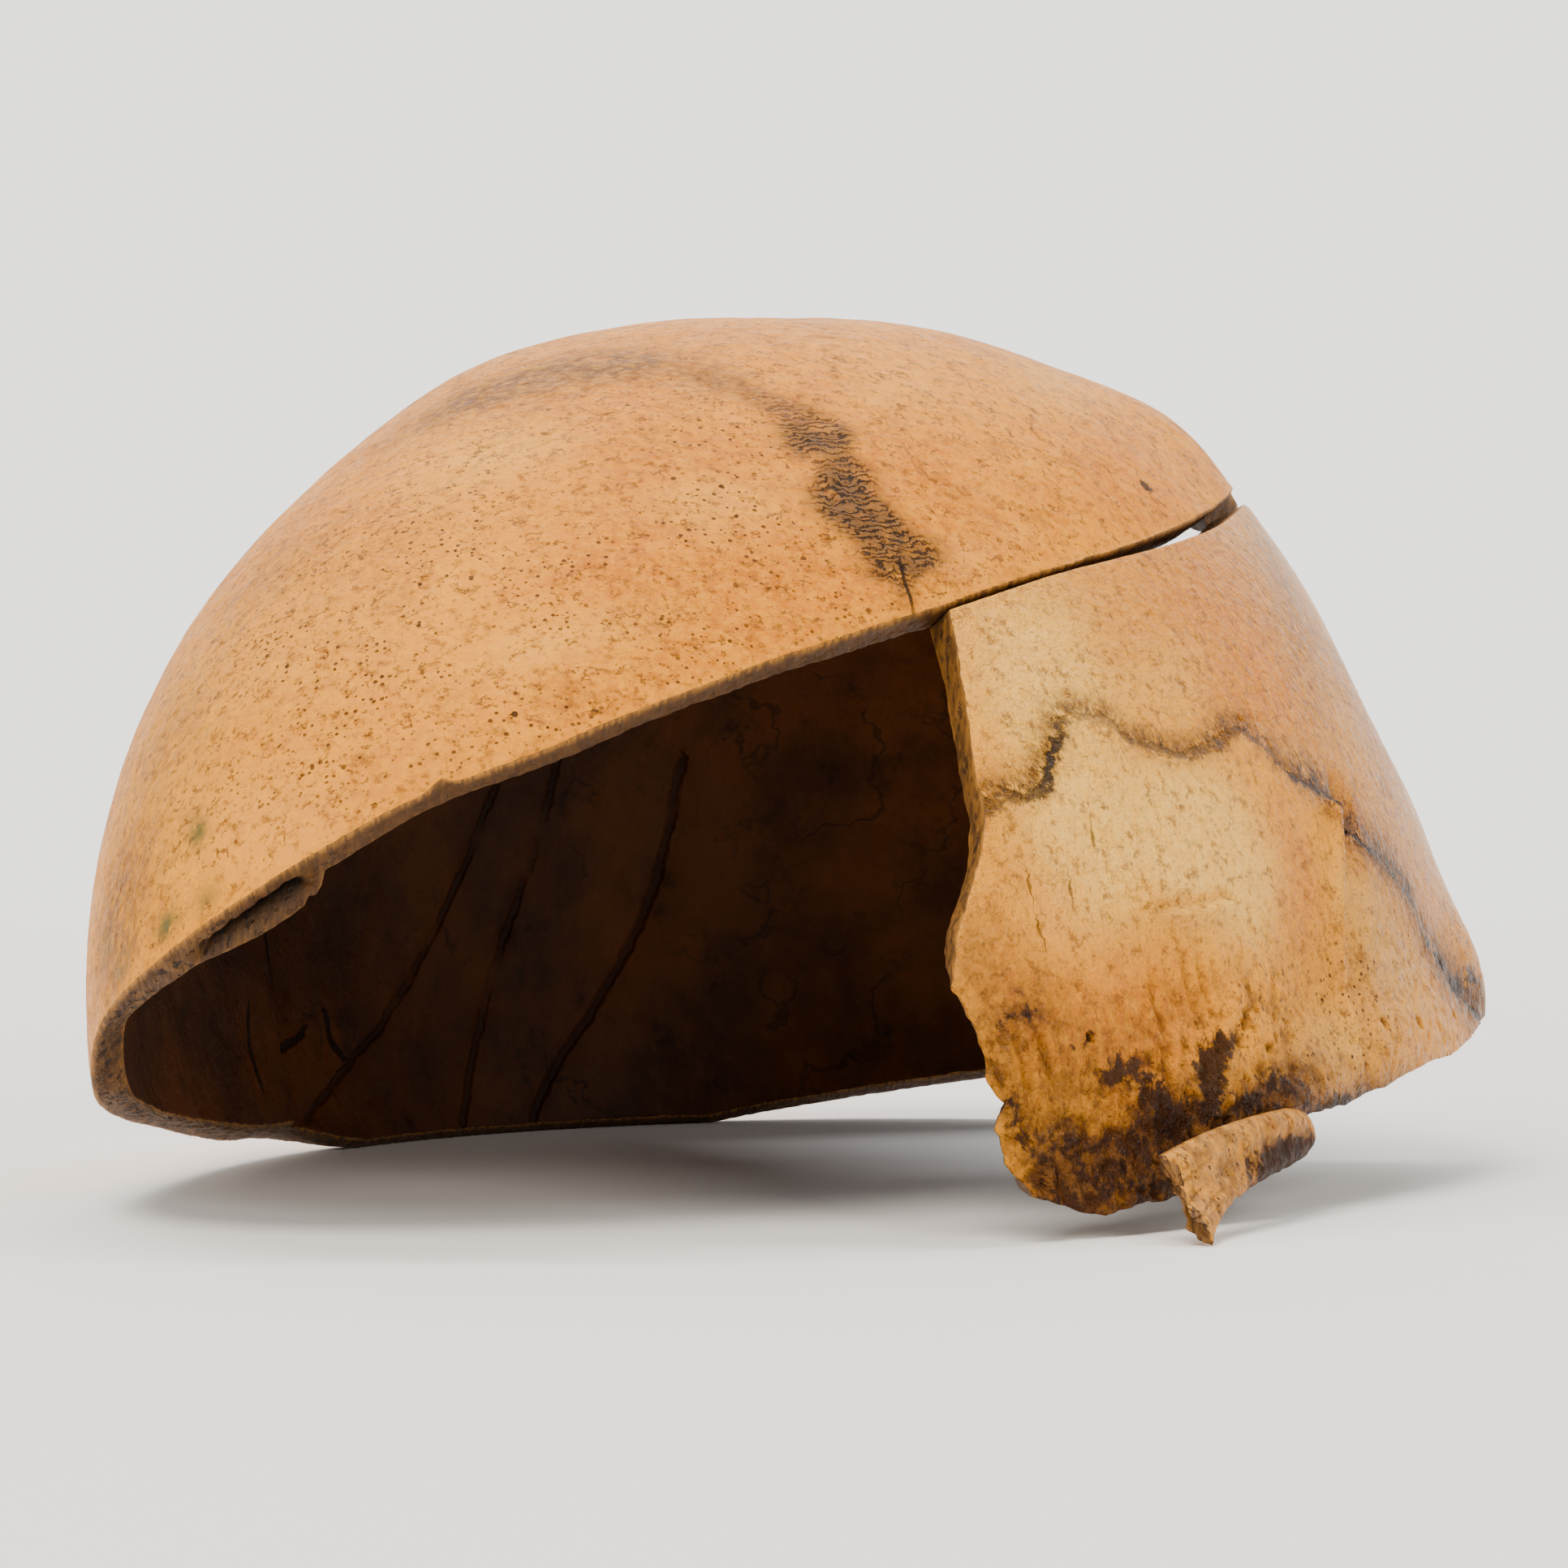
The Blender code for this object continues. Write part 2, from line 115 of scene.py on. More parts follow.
def rotation():
    """The matrix that turns the skull's own axes into the world's."""
    cx, sx = math.cos(TILT_X), math.sin(TILT_X)
    cy, sy = math.cos(TILT_Y), math.sin(TILT_Y)
    cz, sz = math.cos(TURN_Z), math.sin(TURN_Z)
    about_x = np.array([[1, 0, 0], [0, cx, -sx], [0, sx, cx]])
    about_y = np.array([[cy, 0, sy], [0, 1, 0], [-sy, 0, cy]])
    about_z = np.array([[cz, -sz, 0], [sz, cz, 0], [0, 0, 1]])
    return about_x @ about_y @ about_z


TURN = rotation()


def smooth(value, low, high):
    """0 below low, 1 above high, and an even slope between."""
    t = np.clip((value - low) / (high - low), 0, 1)
    return t * t * (3 - 2 * t)


def hump(value, middle, width):
    return np.exp(-((value - middle) / width) ** 2)


def signed_turn(azimuth):
    """An azimuth as -170 to 190 degrees, so that the forehead is near 0 and the break is at the back."""
    turn = np.mod(azimuth, 360)
    return np.where(turn > 190, turn - 360, turn)


def direction(azimuth, rise):
    a, r = np.broadcast_arrays(np.radians(azimuth), np.radians(rise))
    return np.stack([np.cos(r) * np.cos(a), np.cos(r) * np.sin(a), np.sin(r)], -1)


def vault_radius(azimuth, rise):
    """Distance from the middle of the skull to the outer surface."""
    n = direction(azimuth, rise)
    x, y, z = n[..., 0], n[..., 1], n[..., 2]
    fullness = (1 + CROWN_BEHIND_MIDDLE * x * z + FLAT_CROWN_ENDS * x * x * z + LONG_FOREHEAD * x ** 3
                + PINCHED_CORNERS * x * x * y * y + SKEW * x * y + FULL_LEFT_CROWN * y * z
                + FULL_SIDE_CROWNS * y * y * z + FULL_FOREHEAD_TOP * x * z ** 3)
    along = (x - LEAN_FORWARD * z) / HALF_LENGTH
    up = np.abs(z) / HALF_HEIGHT
    radius = np.full(np.shape(x), HALF_BREADTH)
    for _ in range(RADIUS_STEPS):
        taper = 1 - FOREHEAD_TAPER * np.clip(radius * along, -1.2, 1.2)
        across = np.abs(y) / (HALF_BREADTH * taper)
        plan = (np.abs(along) ** PLAN_ROUNDNESS + across ** PLAN_ROUNDNESS) ** (1 / PLAN_ROUNDNESS)
        radius = fullness / (plan ** PROFILE_ROUNDNESS + up ** PROFILE_ROUNDNESS) ** (1 / PROFILE_ROUNDNESS)
    for centre_azimuth, centre_rise, spread, height in SWELLS:
        near = n @ direction(centre_azimuth, centre_rise)
        angle = np.degrees(np.arccos(np.clip(near, -1, 1)))
        radius = radius + height * np.exp(-(angle / spread) ** 2)
    return radius


def to_world(points):
    return points @ TURN.T + MIDDLE


def bone_point(azimuth, rise, depth):
    """A point in the skull's own frame, at a depth under the outer surface."""
    radius = vault_radius(azimuth, rise) - depth
    return direction(azimuth, rise) * radius[..., None]


def cap_wall(azimuth, rise):
    """Thickness of the cap's wall, with its thin right corner and the step inside the right temple."""
    turn = np.mod(azimuth, 360)
    wall = SIDE_WALL - THIN_CORNER * hump(turn, 338, 14)
    step = smooth(turn, TEMPLE_STEP_AZIMUTH - 1.5, TEMPLE_STEP_AZIMUTH + 1.5) * (1 - smooth(turn, 288, 320))
    return wall + TEMPLE_STEP * step * (1 - smooth(rise, 35, 55))


def rise_where(height_above, azimuth, depth, low=-62.0, high=62.0):
    """The rise at which a point of the wall meets a level, found by halving."""
    low = np.full(np.shape(azimuth), low)
    high = np.full(np.shape(azimuth), high)
    for _ in range(HALVINGS):
        middle = (low + high) / 2
        above = height_above(bone_point(azimuth, middle, depth)) > 0
        high = np.where(above, middle, high)
        low = np.where(above, low, middle)
    return (low + high) / 2


def saw_level(azimuth):
    """The saw cut's level: highest at the middle of the forehead and at the back of the left side."""
    turn = signed_turn(azimuth)
    climb = SAW_RISE_BEHIND * np.maximum(turn - SAW_BEND_AZIMUTH, 0) ** 2
    brow = BROW_RISE * smooth(-turn, -62, -20) + MIDDLE_RISE * smooth(-turn, -24, -12)
    fall = RIGHT_FALL * smooth(-turn, 10, 30) + RIGHT_FALL_BEHIND * smooth(-turn, 45, 78)
    return SAW_LEVEL + brow + np.minimum(climb, SAW_CLIMB_MOST) - fall


def rim_rise(azimuth, share, lift_by):
    """The rise of the cap's edge at a share of the wall's depth, lifted by some millimetres."""
    depth = share * cap_wall(azimuth, 20.0)
    turn = np.mod(azimuth, 360)
    signed = signed_turn(azimuth)
    inward = smooth(share, 0.1, 1.0)
    slope = 0.3 + 1.1 * hump(signed, -1, 9) + 1.1 * hump(signed, -60, 24) - 1.5 * hump(signed, -18, 5)
    level = saw_level(turn) - inward * slope + lift_by
    sawn = rise_where(lambda p: p[..., 2] - level, azimuth, depth)
    bevel = INNER_BEVEL * np.maximum(share - BEVEL_FROM, 0) / (1 - BEVEL_FROM)
    away = LIFT_BEHIND * np.maximum(FLAT_FROM - turn, 0) + LIFT_BEFORE * np.maximum(turn - FLAT_TO, 0)
    lift = away + bevel + np.maximum(lift_by, 0)
    stood = rise_where(lambda p: to_world(p)[..., 2] - lift, azimuth, depth)
    uneven = 0.8 * np.sin(turn * 0.42) + 0.4 * np.sin(turn * 1.0 + 1)
    broken = BAY_RISE + uneven - BAY_LOWER_BEHIND * smooth(BAY_TO - 8 - turn, 0, 34) + 0.8 * lift_by
    standing = smooth(turn, BAY_TO, BAY_END)
    behind = broken * (1 - standing) + stood * standing
    in_bay = smooth(turn, BAY_FROM - 6, BAY_FROM + 6)
    left = sawn * (1 - in_bay) + behind * in_bay
    forward = smooth(turn, FLAT_TO, FLAT_TO + 22)
    right = stood * (1 - forward) + sawn * forward
    return np.where(turn < 200, left, right)


def grain(points, size, seed, detail=3):
    """Soft lumps from -1 to 1 whose size is in millimetres, at points in millimetres."""
    flat = points.reshape(-1, 3) / size + np.array([seed * 17.3, seed * 5.1, seed * 9.7])
    values = [noise.fractal(Vector(p), 1.0, 2.1, detail) for p in flat]
    return np.array(values).reshape(points.shape[:-1])


def disk_grid(cells):
    """A square grid drawn out to a disk: azimuth and share of the way from the crown to the rim."""
    u, v = np.meshgrid(np.linspace(-1, 1, cells + 1), np.linspace(-1, 1, cells + 1), indexing="ij")
    wide = np.abs(u) >= np.abs(v)
    big = np.where(wide, u, v)
    small = np.where(wide, v, u)
    corner = 45 * small / np.where(big == 0, 1, big)
    azimuth = np.where(wide, corner, 90 - corner) + np.where(big < 0, 180, 0)
    return np.mod(azimuth, 360), 1 - (1 - np.abs(big)) ** 1.25


def edge_loop(columns, rows):
    """Grid places of the border, once round."""
    loop = [(i, 0) for i in range(columns)] + [(columns, j) for j in range(rows)]
    return loop + [(i, rows) for i in range(columns, 0, -1)] + [(0, j) for j in range(rows, 0, -1)]


def bone_object(name, world, faces, materials, kinds, marks):
    """A bone from points in millimetres, with smooth faces turned outward, materials and marks."""
    mesh = bpy.data.meshes.new(name)
    mesh.from_pydata((world * MM).tolist(), [], faces)
    for material in materials:
        mesh.materials.append(material)
    mesh.polygons.foreach_set("material_index", kinds)
    mesh.polygons.foreach_set("use_smooth", np.ones(len(faces), bool))
    for key, values in marks.items():
        mesh.attributes.new(key, "FLOAT", "POINT").data.foreach_set("value", values.astype(np.float32))
    work = bmesh.new()
    work.from_mesh(mesh)
    if work.calc_volume(signed=True) < 0:
        bmesh.ops.reverse_faces(work, faces=work.faces[:])
        work.to_mesh(mesh)
    work.free()
    thing = bpy.data.objects.new(name, mesh)
    bpy.context.scene.collection.objects.link(thing)
    return thing


def wall_mesh(name, outer, inner, rows_between, shape, materials, marks):
    """A closed wall: outer grid, inner grid, and rows of faces along the edge from one to the other.

    marks holds, for each attribute, its values on the outer grid, the inner grid and each row between.
    """
    columns, rows = shape
    loop = edge_loop(columns, rows)
    count = len(loop)
    half = (columns + 1) * (rows + 1)
    grid = np.arange(half).reshape(columns + 1, rows + 1)
    a, b, c, d = grid[:-1, :-1], grid[1:, :-1], grid[1:, 1:], grid[:-1, 1:]
    outside = np.stack([a, b, c, d], -1).reshape(-1, 4)
    inside = np.stack([d, c, b, a], -1).reshape(-1, 4) + half
    out_loop = np.array([grid[place] for place in loop])
    lines = [out_loop] + [2 * half + k * count + np.arange(count) for k in range(len(rows_between))]
    lines.append(out_loop + half)
    strips = []
    for near, far in zip(lines, lines[1:]):
        strips.append(np.stack([np.roll(near, -1), near, far, np.roll(far, -1)], -1))
    edge = np.concatenate(strips)
    faces = np.concatenate([outside, inside, edge])
    points = np.concatenate([outer.reshape(-1, 3), inner.reshape(-1, 3)] + list(rows_between))
    kinds = [0] * len(outside) + [1] * len(inside) + [2] * len(edge)
    world = to_world(points)
    world[:, 2] = np.maximum(world[:, 2], 0.0)
    joined = {}
    for key, parts in marks.items():
        joined[key] = np.concatenate([np.asarray(part, float).ravel() for part in parts])
    return bone_object(name, world, faces.tolist(), materials, kinds, joined)


def spots(azimuth, rise, places):
    """A mask of soft round spots, each with its azimuth, rise, two spreads in degrees, and strength."""
    mask = np.zeros(np.shape(azimuth))
    turn = signed_turn(azimuth)
    for at_azimuth, at_rise, wide, tall, strength in places:
        across = (turn - at_azimuth) * np.cos(np.radians(at_rise)) / wide
        mask = mask + strength * np.exp(-across ** 2 - ((rise - at_rise) / tall) ** 2)
    return mask


def all_spots(azimuth, rise, tables):
    """The masks of several tables of spots, none above 1."""
    return {key: np.minimum(spots(azimuth, rise, places), 1) for key, places in tables.items()}


def line_marks(azimuth, rise, line):
    """Distance to a line of places, signed by its side, and the way along it, in millimetres."""
    line = np.array(line, float)
    turn = signed_turn(azimuth)
    scale = math.radians(1) * MARKS_RADIUS
    lean = np.cos(np.radians(line[:, 1].mean()))
    x, y = turn * scale * lean, rise * scale
    knots = np.stack([line[:, 0] * scale * lean, line[:, 1] * scale], -1)
    nearest = np.full(np.shape(x), 1e9)
    side = np.zeros(np.shape(x))
    way = np.zeros(np.shape(x))
    passed = 0.0
    for start, end in zip(knots, knots[1:]):
        run = end - start
        length = float(np.hypot(*run))
        share = np.clip(((x - start[0]) * run[0] + (y - start[1]) * run[1]) / length ** 2, 0, 1)
        dx, dy = x - start[0] - share * run[0], y - start[1] - share * run[1]
        far = np.hypot(dx, dy)
        closer = far < nearest
        nearest = np.where(closer, far, nearest)
        side = np.where(closer, np.sign(run[0] * dy - run[1] * dx), side)
        way = np.where(closer, passed + share * length, way)
        passed += length
    return nearest * side, way


def rounded(line, times=2):
    """Cut the corners of a line of places."""
    line = np.array(line, float)
    for _ in range(times):
        near = line[:-1] * 0.75 + line[1:] * 0.25
        far = line[:-1] * 0.25 + line[1:] * 0.75
        line = np.concatenate([line[:1], np.stack([near, far], 1).reshape(-1, 2), line[-1:]])
    return line


# Materials

def hex_colour(text):
    """An sRGB hex colour as linear values."""
    channels = [int(text[k:k + 2], 16) / 255 for k in (1, 3, 5)]
    return tuple(c / 12.92 if c <= 0.04045 else ((c + 0.055) / 1.055) ** 2.4 for c in channels) + (1.0,)


def node(tree, kind, inputs=None, out=0, **settings):
    """Add a node with its settings and its inputs, set or linked, and give back one output."""
    made = tree.nodes.new("ShaderNode" + kind)
    for key, value in settings.items():
        setattr(made, key, value)
    for key, value in (inputs or {}).items():
        socket = made.inputs[key]
        if isinstance(value, bpy.types.NodeSocket):
            tree.links.new(value, socket)
        else:
            socket.default_value = value
    return made.outputs[out]


def new_material(name, roughness):
    material = bpy.data.materials.new(name)
    material.use_nodes = True
    tree = material.node_tree
    shader = tree.nodes["Principled BSDF"]
    shader.inputs["Metallic"].default_value = 0.0
    shader.inputs["IOR"].default_value = 1.54
    shader.inputs["Roughness"].default_value = roughness
    return material, tree, shader


def stained(tree, ground, colour, strength, *masks):
    """Lay a colour over the ground, as strong as the product of its masks."""
    share = strength
    for mask in masks:
        share = node(tree, "Math", {0: share, 1: mask}, operation="MULTIPLY", use_clamp=True)
    return node(tree, "Mix", {0: share, 6: ground, 7: hex_colour(colour)}, out=2, data_type="RGBA")


def layered(tree, colour, *stains):
    """Lay several stains over the ground, each with its colour, strength and masks."""
    for stain_and_shade in stains:
        colour = stained(tree, colour, *stain_and_shade)
    return colour


def patches(tree, coords, size_mm, low, high, detail=3.0, rough=0.55, stretch=None, turn=(0, 0, 0)):
    """Irregular patches of a size in millimetres: 0 where the noise is at low, 1 where it is at high."""
    if stretch:
        shape = {"Vector": coords, "Rotation": turn, "Scale": tuple(1 / s for s in stretch)}
        coords = node(tree, "Mapping", shape)
    noisy = {"Vector": coords, "Scale": 1000 / size_mm, "Detail": detail, "Roughness": rough}
    noisy = node(tree, "TexNoise", noisy)
    limits = {"Value": noisy, "From Min": low, "From Max": high}
    return node(tree, "MapRange", limits, interpolation_type="SMOOTHSTEP")


def pores(tree, coords, spacing_mm, size_share, kept, stretch=(1, 1, 1)):
    """Open pores, one in some of the cells of a random pattern, each a little out of round."""
    scale = tuple(1000 / (spacing_mm * s) for s in stretch)
    placed = node(tree, "Mapping", {"Vector": coords, "Scale": scale})
    wavy = node(tree, "TexNoise", {"Vector": placed, "Scale": 2.2, "Detail": 2.0}, out="Color")
    placed = node(tree, "Mix", {0: 0.24, 4: placed, 5: wavy}, out=1, data_type="VECTOR")
    far = node(tree, "TexVoronoi", {"Vector": placed, "Scale": 1.0}, out="Distance", feature="F1")
    chance = node(tree, "TexVoronoi", {"Vector": placed, "Scale": 1.0}, out="Color", feature="F1")
    chance = node(tree, "SeparateColor", {"Color": chance})
    limits = {"Value": chance, "From Min": 1 - kept, "From Max": 1.0, "To Min": 0.35 * size_share,
              "To Max": size_share}
    size = node(tree, "MapRange", limits)
    kept_cell = node(tree, "Math", {0: chance, 1: 1 - kept}, operation="GREATER_THAN")
    size = node(tree, "Math", {0: size, 1: kept_cell}, operation="MULTIPLY")
    inside = node(tree, "Math", {0: size, 1: far}, operation="SUBTRACT")
    soft_edge = size_share * 0.15
    return node(tree, "MapRange", {"Value": inside, "From Min": 0.0, "From Max": soft_edge})


def wiggles(tree, vector, turns, wide, detail=2.5):
    """Fine winding lines, like the level lines of a map."""
    noisy = {"Vector": vector, "Scale": 1.0, "Detail": detail, "Roughness": 0.55}
    noisy = node(tree, "TexNoise", noisy)
    often = node(tree, "Math", {0: noisy, 1: turns}, operation="MULTIPLY")
    swing = node(tree, "Math", {0: often, 1: 0.5}, operation="PINGPONG")
    return node(tree, "MapRange", {"Value": swing, "From Min": wide, "From Max": wide * 0.35})


def meander(tree, along_mm, vector, spacing_mm, sway, wide):
    """Dark winding lines that run side by side at a spacing, like the fingers of a suture."""
    noisy = {"Vector": vector, "Scale": 0.42, "Detail": 4.0, "Roughness": 0.66}
    noisy = node(tree, "TexNoise", noisy)
    sway = node(tree, "Math", {0: noisy, 1: sway}, operation="MULTIPLY")
    phase = {0: along_mm, 1: 1 / spacing_mm, 2: sway}
    phase = node(tree, "Math", phase, operation="MULTIPLY_ADD")
    swing = node(tree, "Math", {0: phase, 1: 0.5}, operation="PINGPONG")
    return node(tree, "MapRange", {"Value": swing, "From Min": wide, "From Max": wide * 0.4})


def line_of(tree, offset, ragged_noise, sway_mm, half_mm):
    """A thin line where an offset in millimetres is nought, made ragged by a noise."""
    swayed = {0: ragged_noise, 1: sway_mm, 2: -0.5 * sway_mm}
    swayed = node(tree, "Math", swayed, operation="MULTIPLY_ADD")
    swayed = node(tree, "Math", {0: swayed, 1: offset}, operation="ADD")
    swayed = node(tree, "Math", {0: swayed}, operation="ABSOLUTE")
    limits = {"Value": swayed, "From Min": half_mm, "From Max": half_mm * 0.3}
    return node(tree, "MapRange", limits, interpolation_type="SMOOTHSTEP")


def bumped(tree, shader, heights):
    """Raise the surface by several heights, each with its own depth in millimetres."""
    normal = None
    for height, millimetres in heights:
        inputs = {"Height": height, "Strength": 1.0, "Distance": millimetres * MM}
        if normal is not None:
            inputs["Normal"] = normal
        normal = node(tree, "Bump", inputs, out="Normal")
    tree.links.new(normal, shader.inputs["Normal"])


# What the materials read of each point: patches and stains as 0 to 1, and lines as millimetres off them
OUTER_MARKS = ("cream_and_painted_light", "orange", "dusty", "grey", "pink", "green", "porous", "stain_and_shade", "coronal_across",
               "coronal_along", "coronal", "coronal_band", "crack_off", "hole", "scale_across", "scale_along",
               "scale_dark", "scale_band", "foot", "cavity", "polish", "cut_near", "crack_near")
INNER_MARKS = ("groove_off", "slit_off", "step_shadow_off", "groove_near", "slit_near")
CUT_MARKS = ("dense", "spongy", "hollow", "brown")
ALL_MARKS = OUTER_MARKS + INNER_MARKS + CUT_MARKS
FAR_OFF = 50.0
MARKS_OFF = {key: FAR_OFF for key in ("crack_off", "scale_across", "coronal_across", "groove_off", "slit_off",
                                      "step_shadow_off")}


def outer_bone(name, gloss, smoothest, wrinkled_mm, threaded, light_colour, dark_colour):
    """Dry compact bone, aged honey brown and handled: a soft sheen over mottling, fine pores and sutures."""
    material, tree, shader = new_material(name, 0.4)
    coords = node(tree, "TexCoord", out="Object")
    patchy = partial(patches, tree, coords)
    mark = {key: node(tree, "Attribute", out="Fac", attribute_name=key) for key in OUTER_MARKS}
    # Broad mottling in 24 mm patches, light and dark flecks of 4 to 5 mm, grain of about 1 mm
    mottle = patchy(24, 0.36, 0.64)
    ground = {0: mottle, 6: hex_colour(dark_colour), 7: hex_colour(light_colour)}
    colour = node(tree, "Mix", ground, out=2, data_type="RGBA")
    light_fleck = patchy(5, 0.50, 0.72, 4, 0.62)
    dark_fleck = patchy(4, 0.50, 0.28, 4, 0.62, stretch=(1, 1.4, 1))
    fine = patchy(1.1, 0.36, 0.66, 4, 0.68)
    colour = layered(
        tree, colour, ("#EE9C10", 0.55, light_fleck), ("#9E5808", 0.55, dark_fleck),
        # This bone's colours, with the grain over them: cream, orange, pink, grey-brown and dusty tan; the
        # cream is also painted sheen on the lower piece and painted light on the stump's top
        ("#FFC65C", 0.95, mark["cream_and_painted_light"]), ("#CC7002", 0.75, mark["orange"]), ("#E29648", 1.0, mark["pink"]),
        ("#74461A", 1.0, mark["grey"], patchy(3.2, 0.20, 0.50, 5, 0.68)),
        ("#A87A44", 0.9, mark["dusty"], patchy(2.4, 0.22, 0.55, 5, 0.7)),
        ("#F6A81E", 0.46, fine), ("#7E480A", 0.72, patchy(1.3, 0.50, 0.33, 5, 0.75)))
    # Threads of darker bone: the level lines of a noise of about 2.4 mm
    thread_at = node(tree, "Mapping", {"Vector": coords, "Scale": (420, 360, 480)})
    threads = wiggles(tree, thread_at, 5.0, 0.13, 4.0)
    # Open pores up to 0.4 mm across, close together in patches
    crowd = patchy(11, 0.32, 0.58)
    crowd = node(tree, "Math", {0: crowd, 1: mark["porous"]}, operation="MULTIPLY")
    small = pores(tree, coords, 0.55, 0.34, 0.90)
    large = pores(tree, coords, 1.1, 0.20, 0.30, (1, 1.5, 1))
    colour = layered(
        tree, colour, ("#5C3208", threaded, threads, patchy(1.5, 0.48, 0.60, 4, 0.65)),
        ("#4A2708", 0.90, small, crowd), ("#2C1504", 0.92, large, crowd),
        # The dark foot: painted shade where the lower piece's foot faces down and under the stump, mottled with
        # dark patches
        ("#5C3714", 0.88, mark["foot"]),
        ("#26120A", 0.95, mark["foot"], patchy(1.5, 0.38, 0.60, 5, 0.72)),
        # The grey-brown band of the coronal suture
        ("#6E4A24", 1.0, mark["coronal_band"], patchy(2.6, 0.25, 0.55, 5, 0.68)))
    # The coronal suture's winding dark lines
    seam_at = {0: mark["coronal_across"], 1: mark["coronal_along"], 2: 0.0}
    seam_at = node(tree, "CombineXYZ", seam_at)
    seam = meander(tree, mark["coronal_along"], seam_at, 0.85, 5.0, 0.22)
    for mask in (mark["coronal"], patchy(2.2, 0.28, 0.42, 3)):
        seam = node(tree, "Math", {0: seam, 1: mask}, operation="MULTIPLY")
    # The scale suture, its band of squiggles, cracks and small holes
    ragged_noise = {"Vector": coords, "Scale": 800.0, "Detail": 4.0, "Roughness": 0.7}
    ragged_noise = node(tree, "TexNoise", ragged_noise)
    scale_line = line_of(tree, mark["scale_across"], ragged_noise, 3.8, 0.85)
    for mask in (mark["scale_dark"], patchy(1.5, 0.24, 0.38, 2)):
        scale_line = node(tree, "Math", {0: scale_line, 1: mask}, operation="MULTIPLY")
    scale_at = {0: mark["scale_along"], 1: mark["scale_across"], 2: 0.0}
    scale_at = node(tree, "CombineXYZ", scale_at)
    scale_at = node(tree, "Mapping", {"Vector": scale_at, "Scale": (0.85, 0.42, 1.0)})
    squiggles = wiggles(tree, scale_at, 5.5, 0.26, 2.5)
    for mask in (mark["scale_band"], patchy(3.0, 0.32, 0.46, 2)):
        squiggles = node(tree, "Math", {0: squiggles, 1: mask}, operation="MULTIPLY")
    # Dark stains with ragged speckled borders, which on the stump are painted shade, and cracks
    speck = node(tree, "Math", {0: ragged_noise, 1: 2.2, 2: -1.10}, operation="MULTIPLY_ADD")
    blot = node(tree, "Math", {0: mark["stain_and_shade"], 1: speck}, operation="ADD")
    limits = {"Value": blot, "From Min": 0.22, "From Max": 0.60}
    blot = node(tree, "MapRange", limits, interpolation_type="SMOOTHSTEP")
    in_stain = node(tree, "Math", {0: mark["stain_and_shade"], 1: 0.12}, operation="GREATER_THAN")
    blot = node(tree, "Math", {0: blot, 1: in_stain}, operation="MULTIPLY")
    crack = line_of(tree, mark["crack_off"], ragged_noise, 0.5, 0.24)
    crack = node(tree, "Math", {0: crack, 1: mark["crack_near"]}, operation="MULTIPLY")
    colour = layered(
        tree, colour, ("#1F0F05", 0.92, seam),
        ("#6C4218", 1.0, mark["scale_band"], patchy(2.0, 0.30, 0.54, 5, 0.70)),
        ("#1E0E04", 0.97, scale_line), ("#2A1708", 0.90, squiggles), ("#241006", 0.93, blot),
        ("#43230A", 0.90, mark["cavity"]),
        ("#5C5A34", 0.85, mark["green"], patchy(1.2, 0.32, 0.50, 3)),
        ("#1C0E05", 0.92, crack), ("#1E0F06", 0.95, mark["hole"]),
        # The outer corner of the saw cut is worn yellow
        ("#DE9222", 0.35, mark["cut_near"]))
    tree.links.new(colour, shader.inputs["Base Color"])
    # Sheen: rougher where porous, smoother where the bone was polished by handling
    satin = patchy(2.0, 0.3, 0.7, 4)
    satin = node(tree, "Math", {0: satin, 1: 0.16, 2: smoothest}, operation="MULTIPLY_ADD")
    polish = node(tree, "Math", {0: mark["polish"], 1: -0.10}, operation="MULTIPLY")
    satin = node(tree, "Math", {0: satin, 1: polish}, operation="ADD")
    tree.links.new(satin, shader.inputs["Roughness"])
    shader.inputs["Specular IOR Level"].default_value = gloss
    shader.inputs["Subsurface Weight"].default_value = 0.06
    shader.inputs["Subsurface Radius"].default_value = (1.0, 0.42, 0.15)
    shader.inputs["Subsurface Scale"].default_value = 2.0 * MM
    # Fine relief: wrinkles of 1.6 mm, grain of 0.6 mm, and sunk seams, cracks and pores
    wrinkle = {"Vector": coords, "Scale": 620.0, "Detail": 4.0, "Roughness": 0.62}
    wrinkle = node(tree, "TexNoise", wrinkle)
    grainy = {"Vector": coords, "Scale": 1700.0, "Detail": 3.0, "Roughness": 0.6}
    grainy = node(tree, "TexNoise", grainy)
    sunk = node(tree, "Math", {0: seam, 1: scale_line}, operation="MAXIMUM")
    sunk = node(tree, "Math", {0: sunk, 1: crack}, operation="MAXIMUM")
    sunk = node(tree, "Math", {0: sunk, 1: -1.0}, operation="MULTIPLY")
    open_pores = node(tree, "Math", {0: large, 1: crowd}, operation="MULTIPLY")
    open_pores = node(tree, "Math", {0: open_pores, 1: -1.0}, operation="MULTIPLY")
    heights = ((wrinkle, wrinkled_mm), (grainy, wrinkled_mm / 2), (sunk, 0.25), (open_pores, 0.14))
    bumped(tree, shader, heights)
    return material


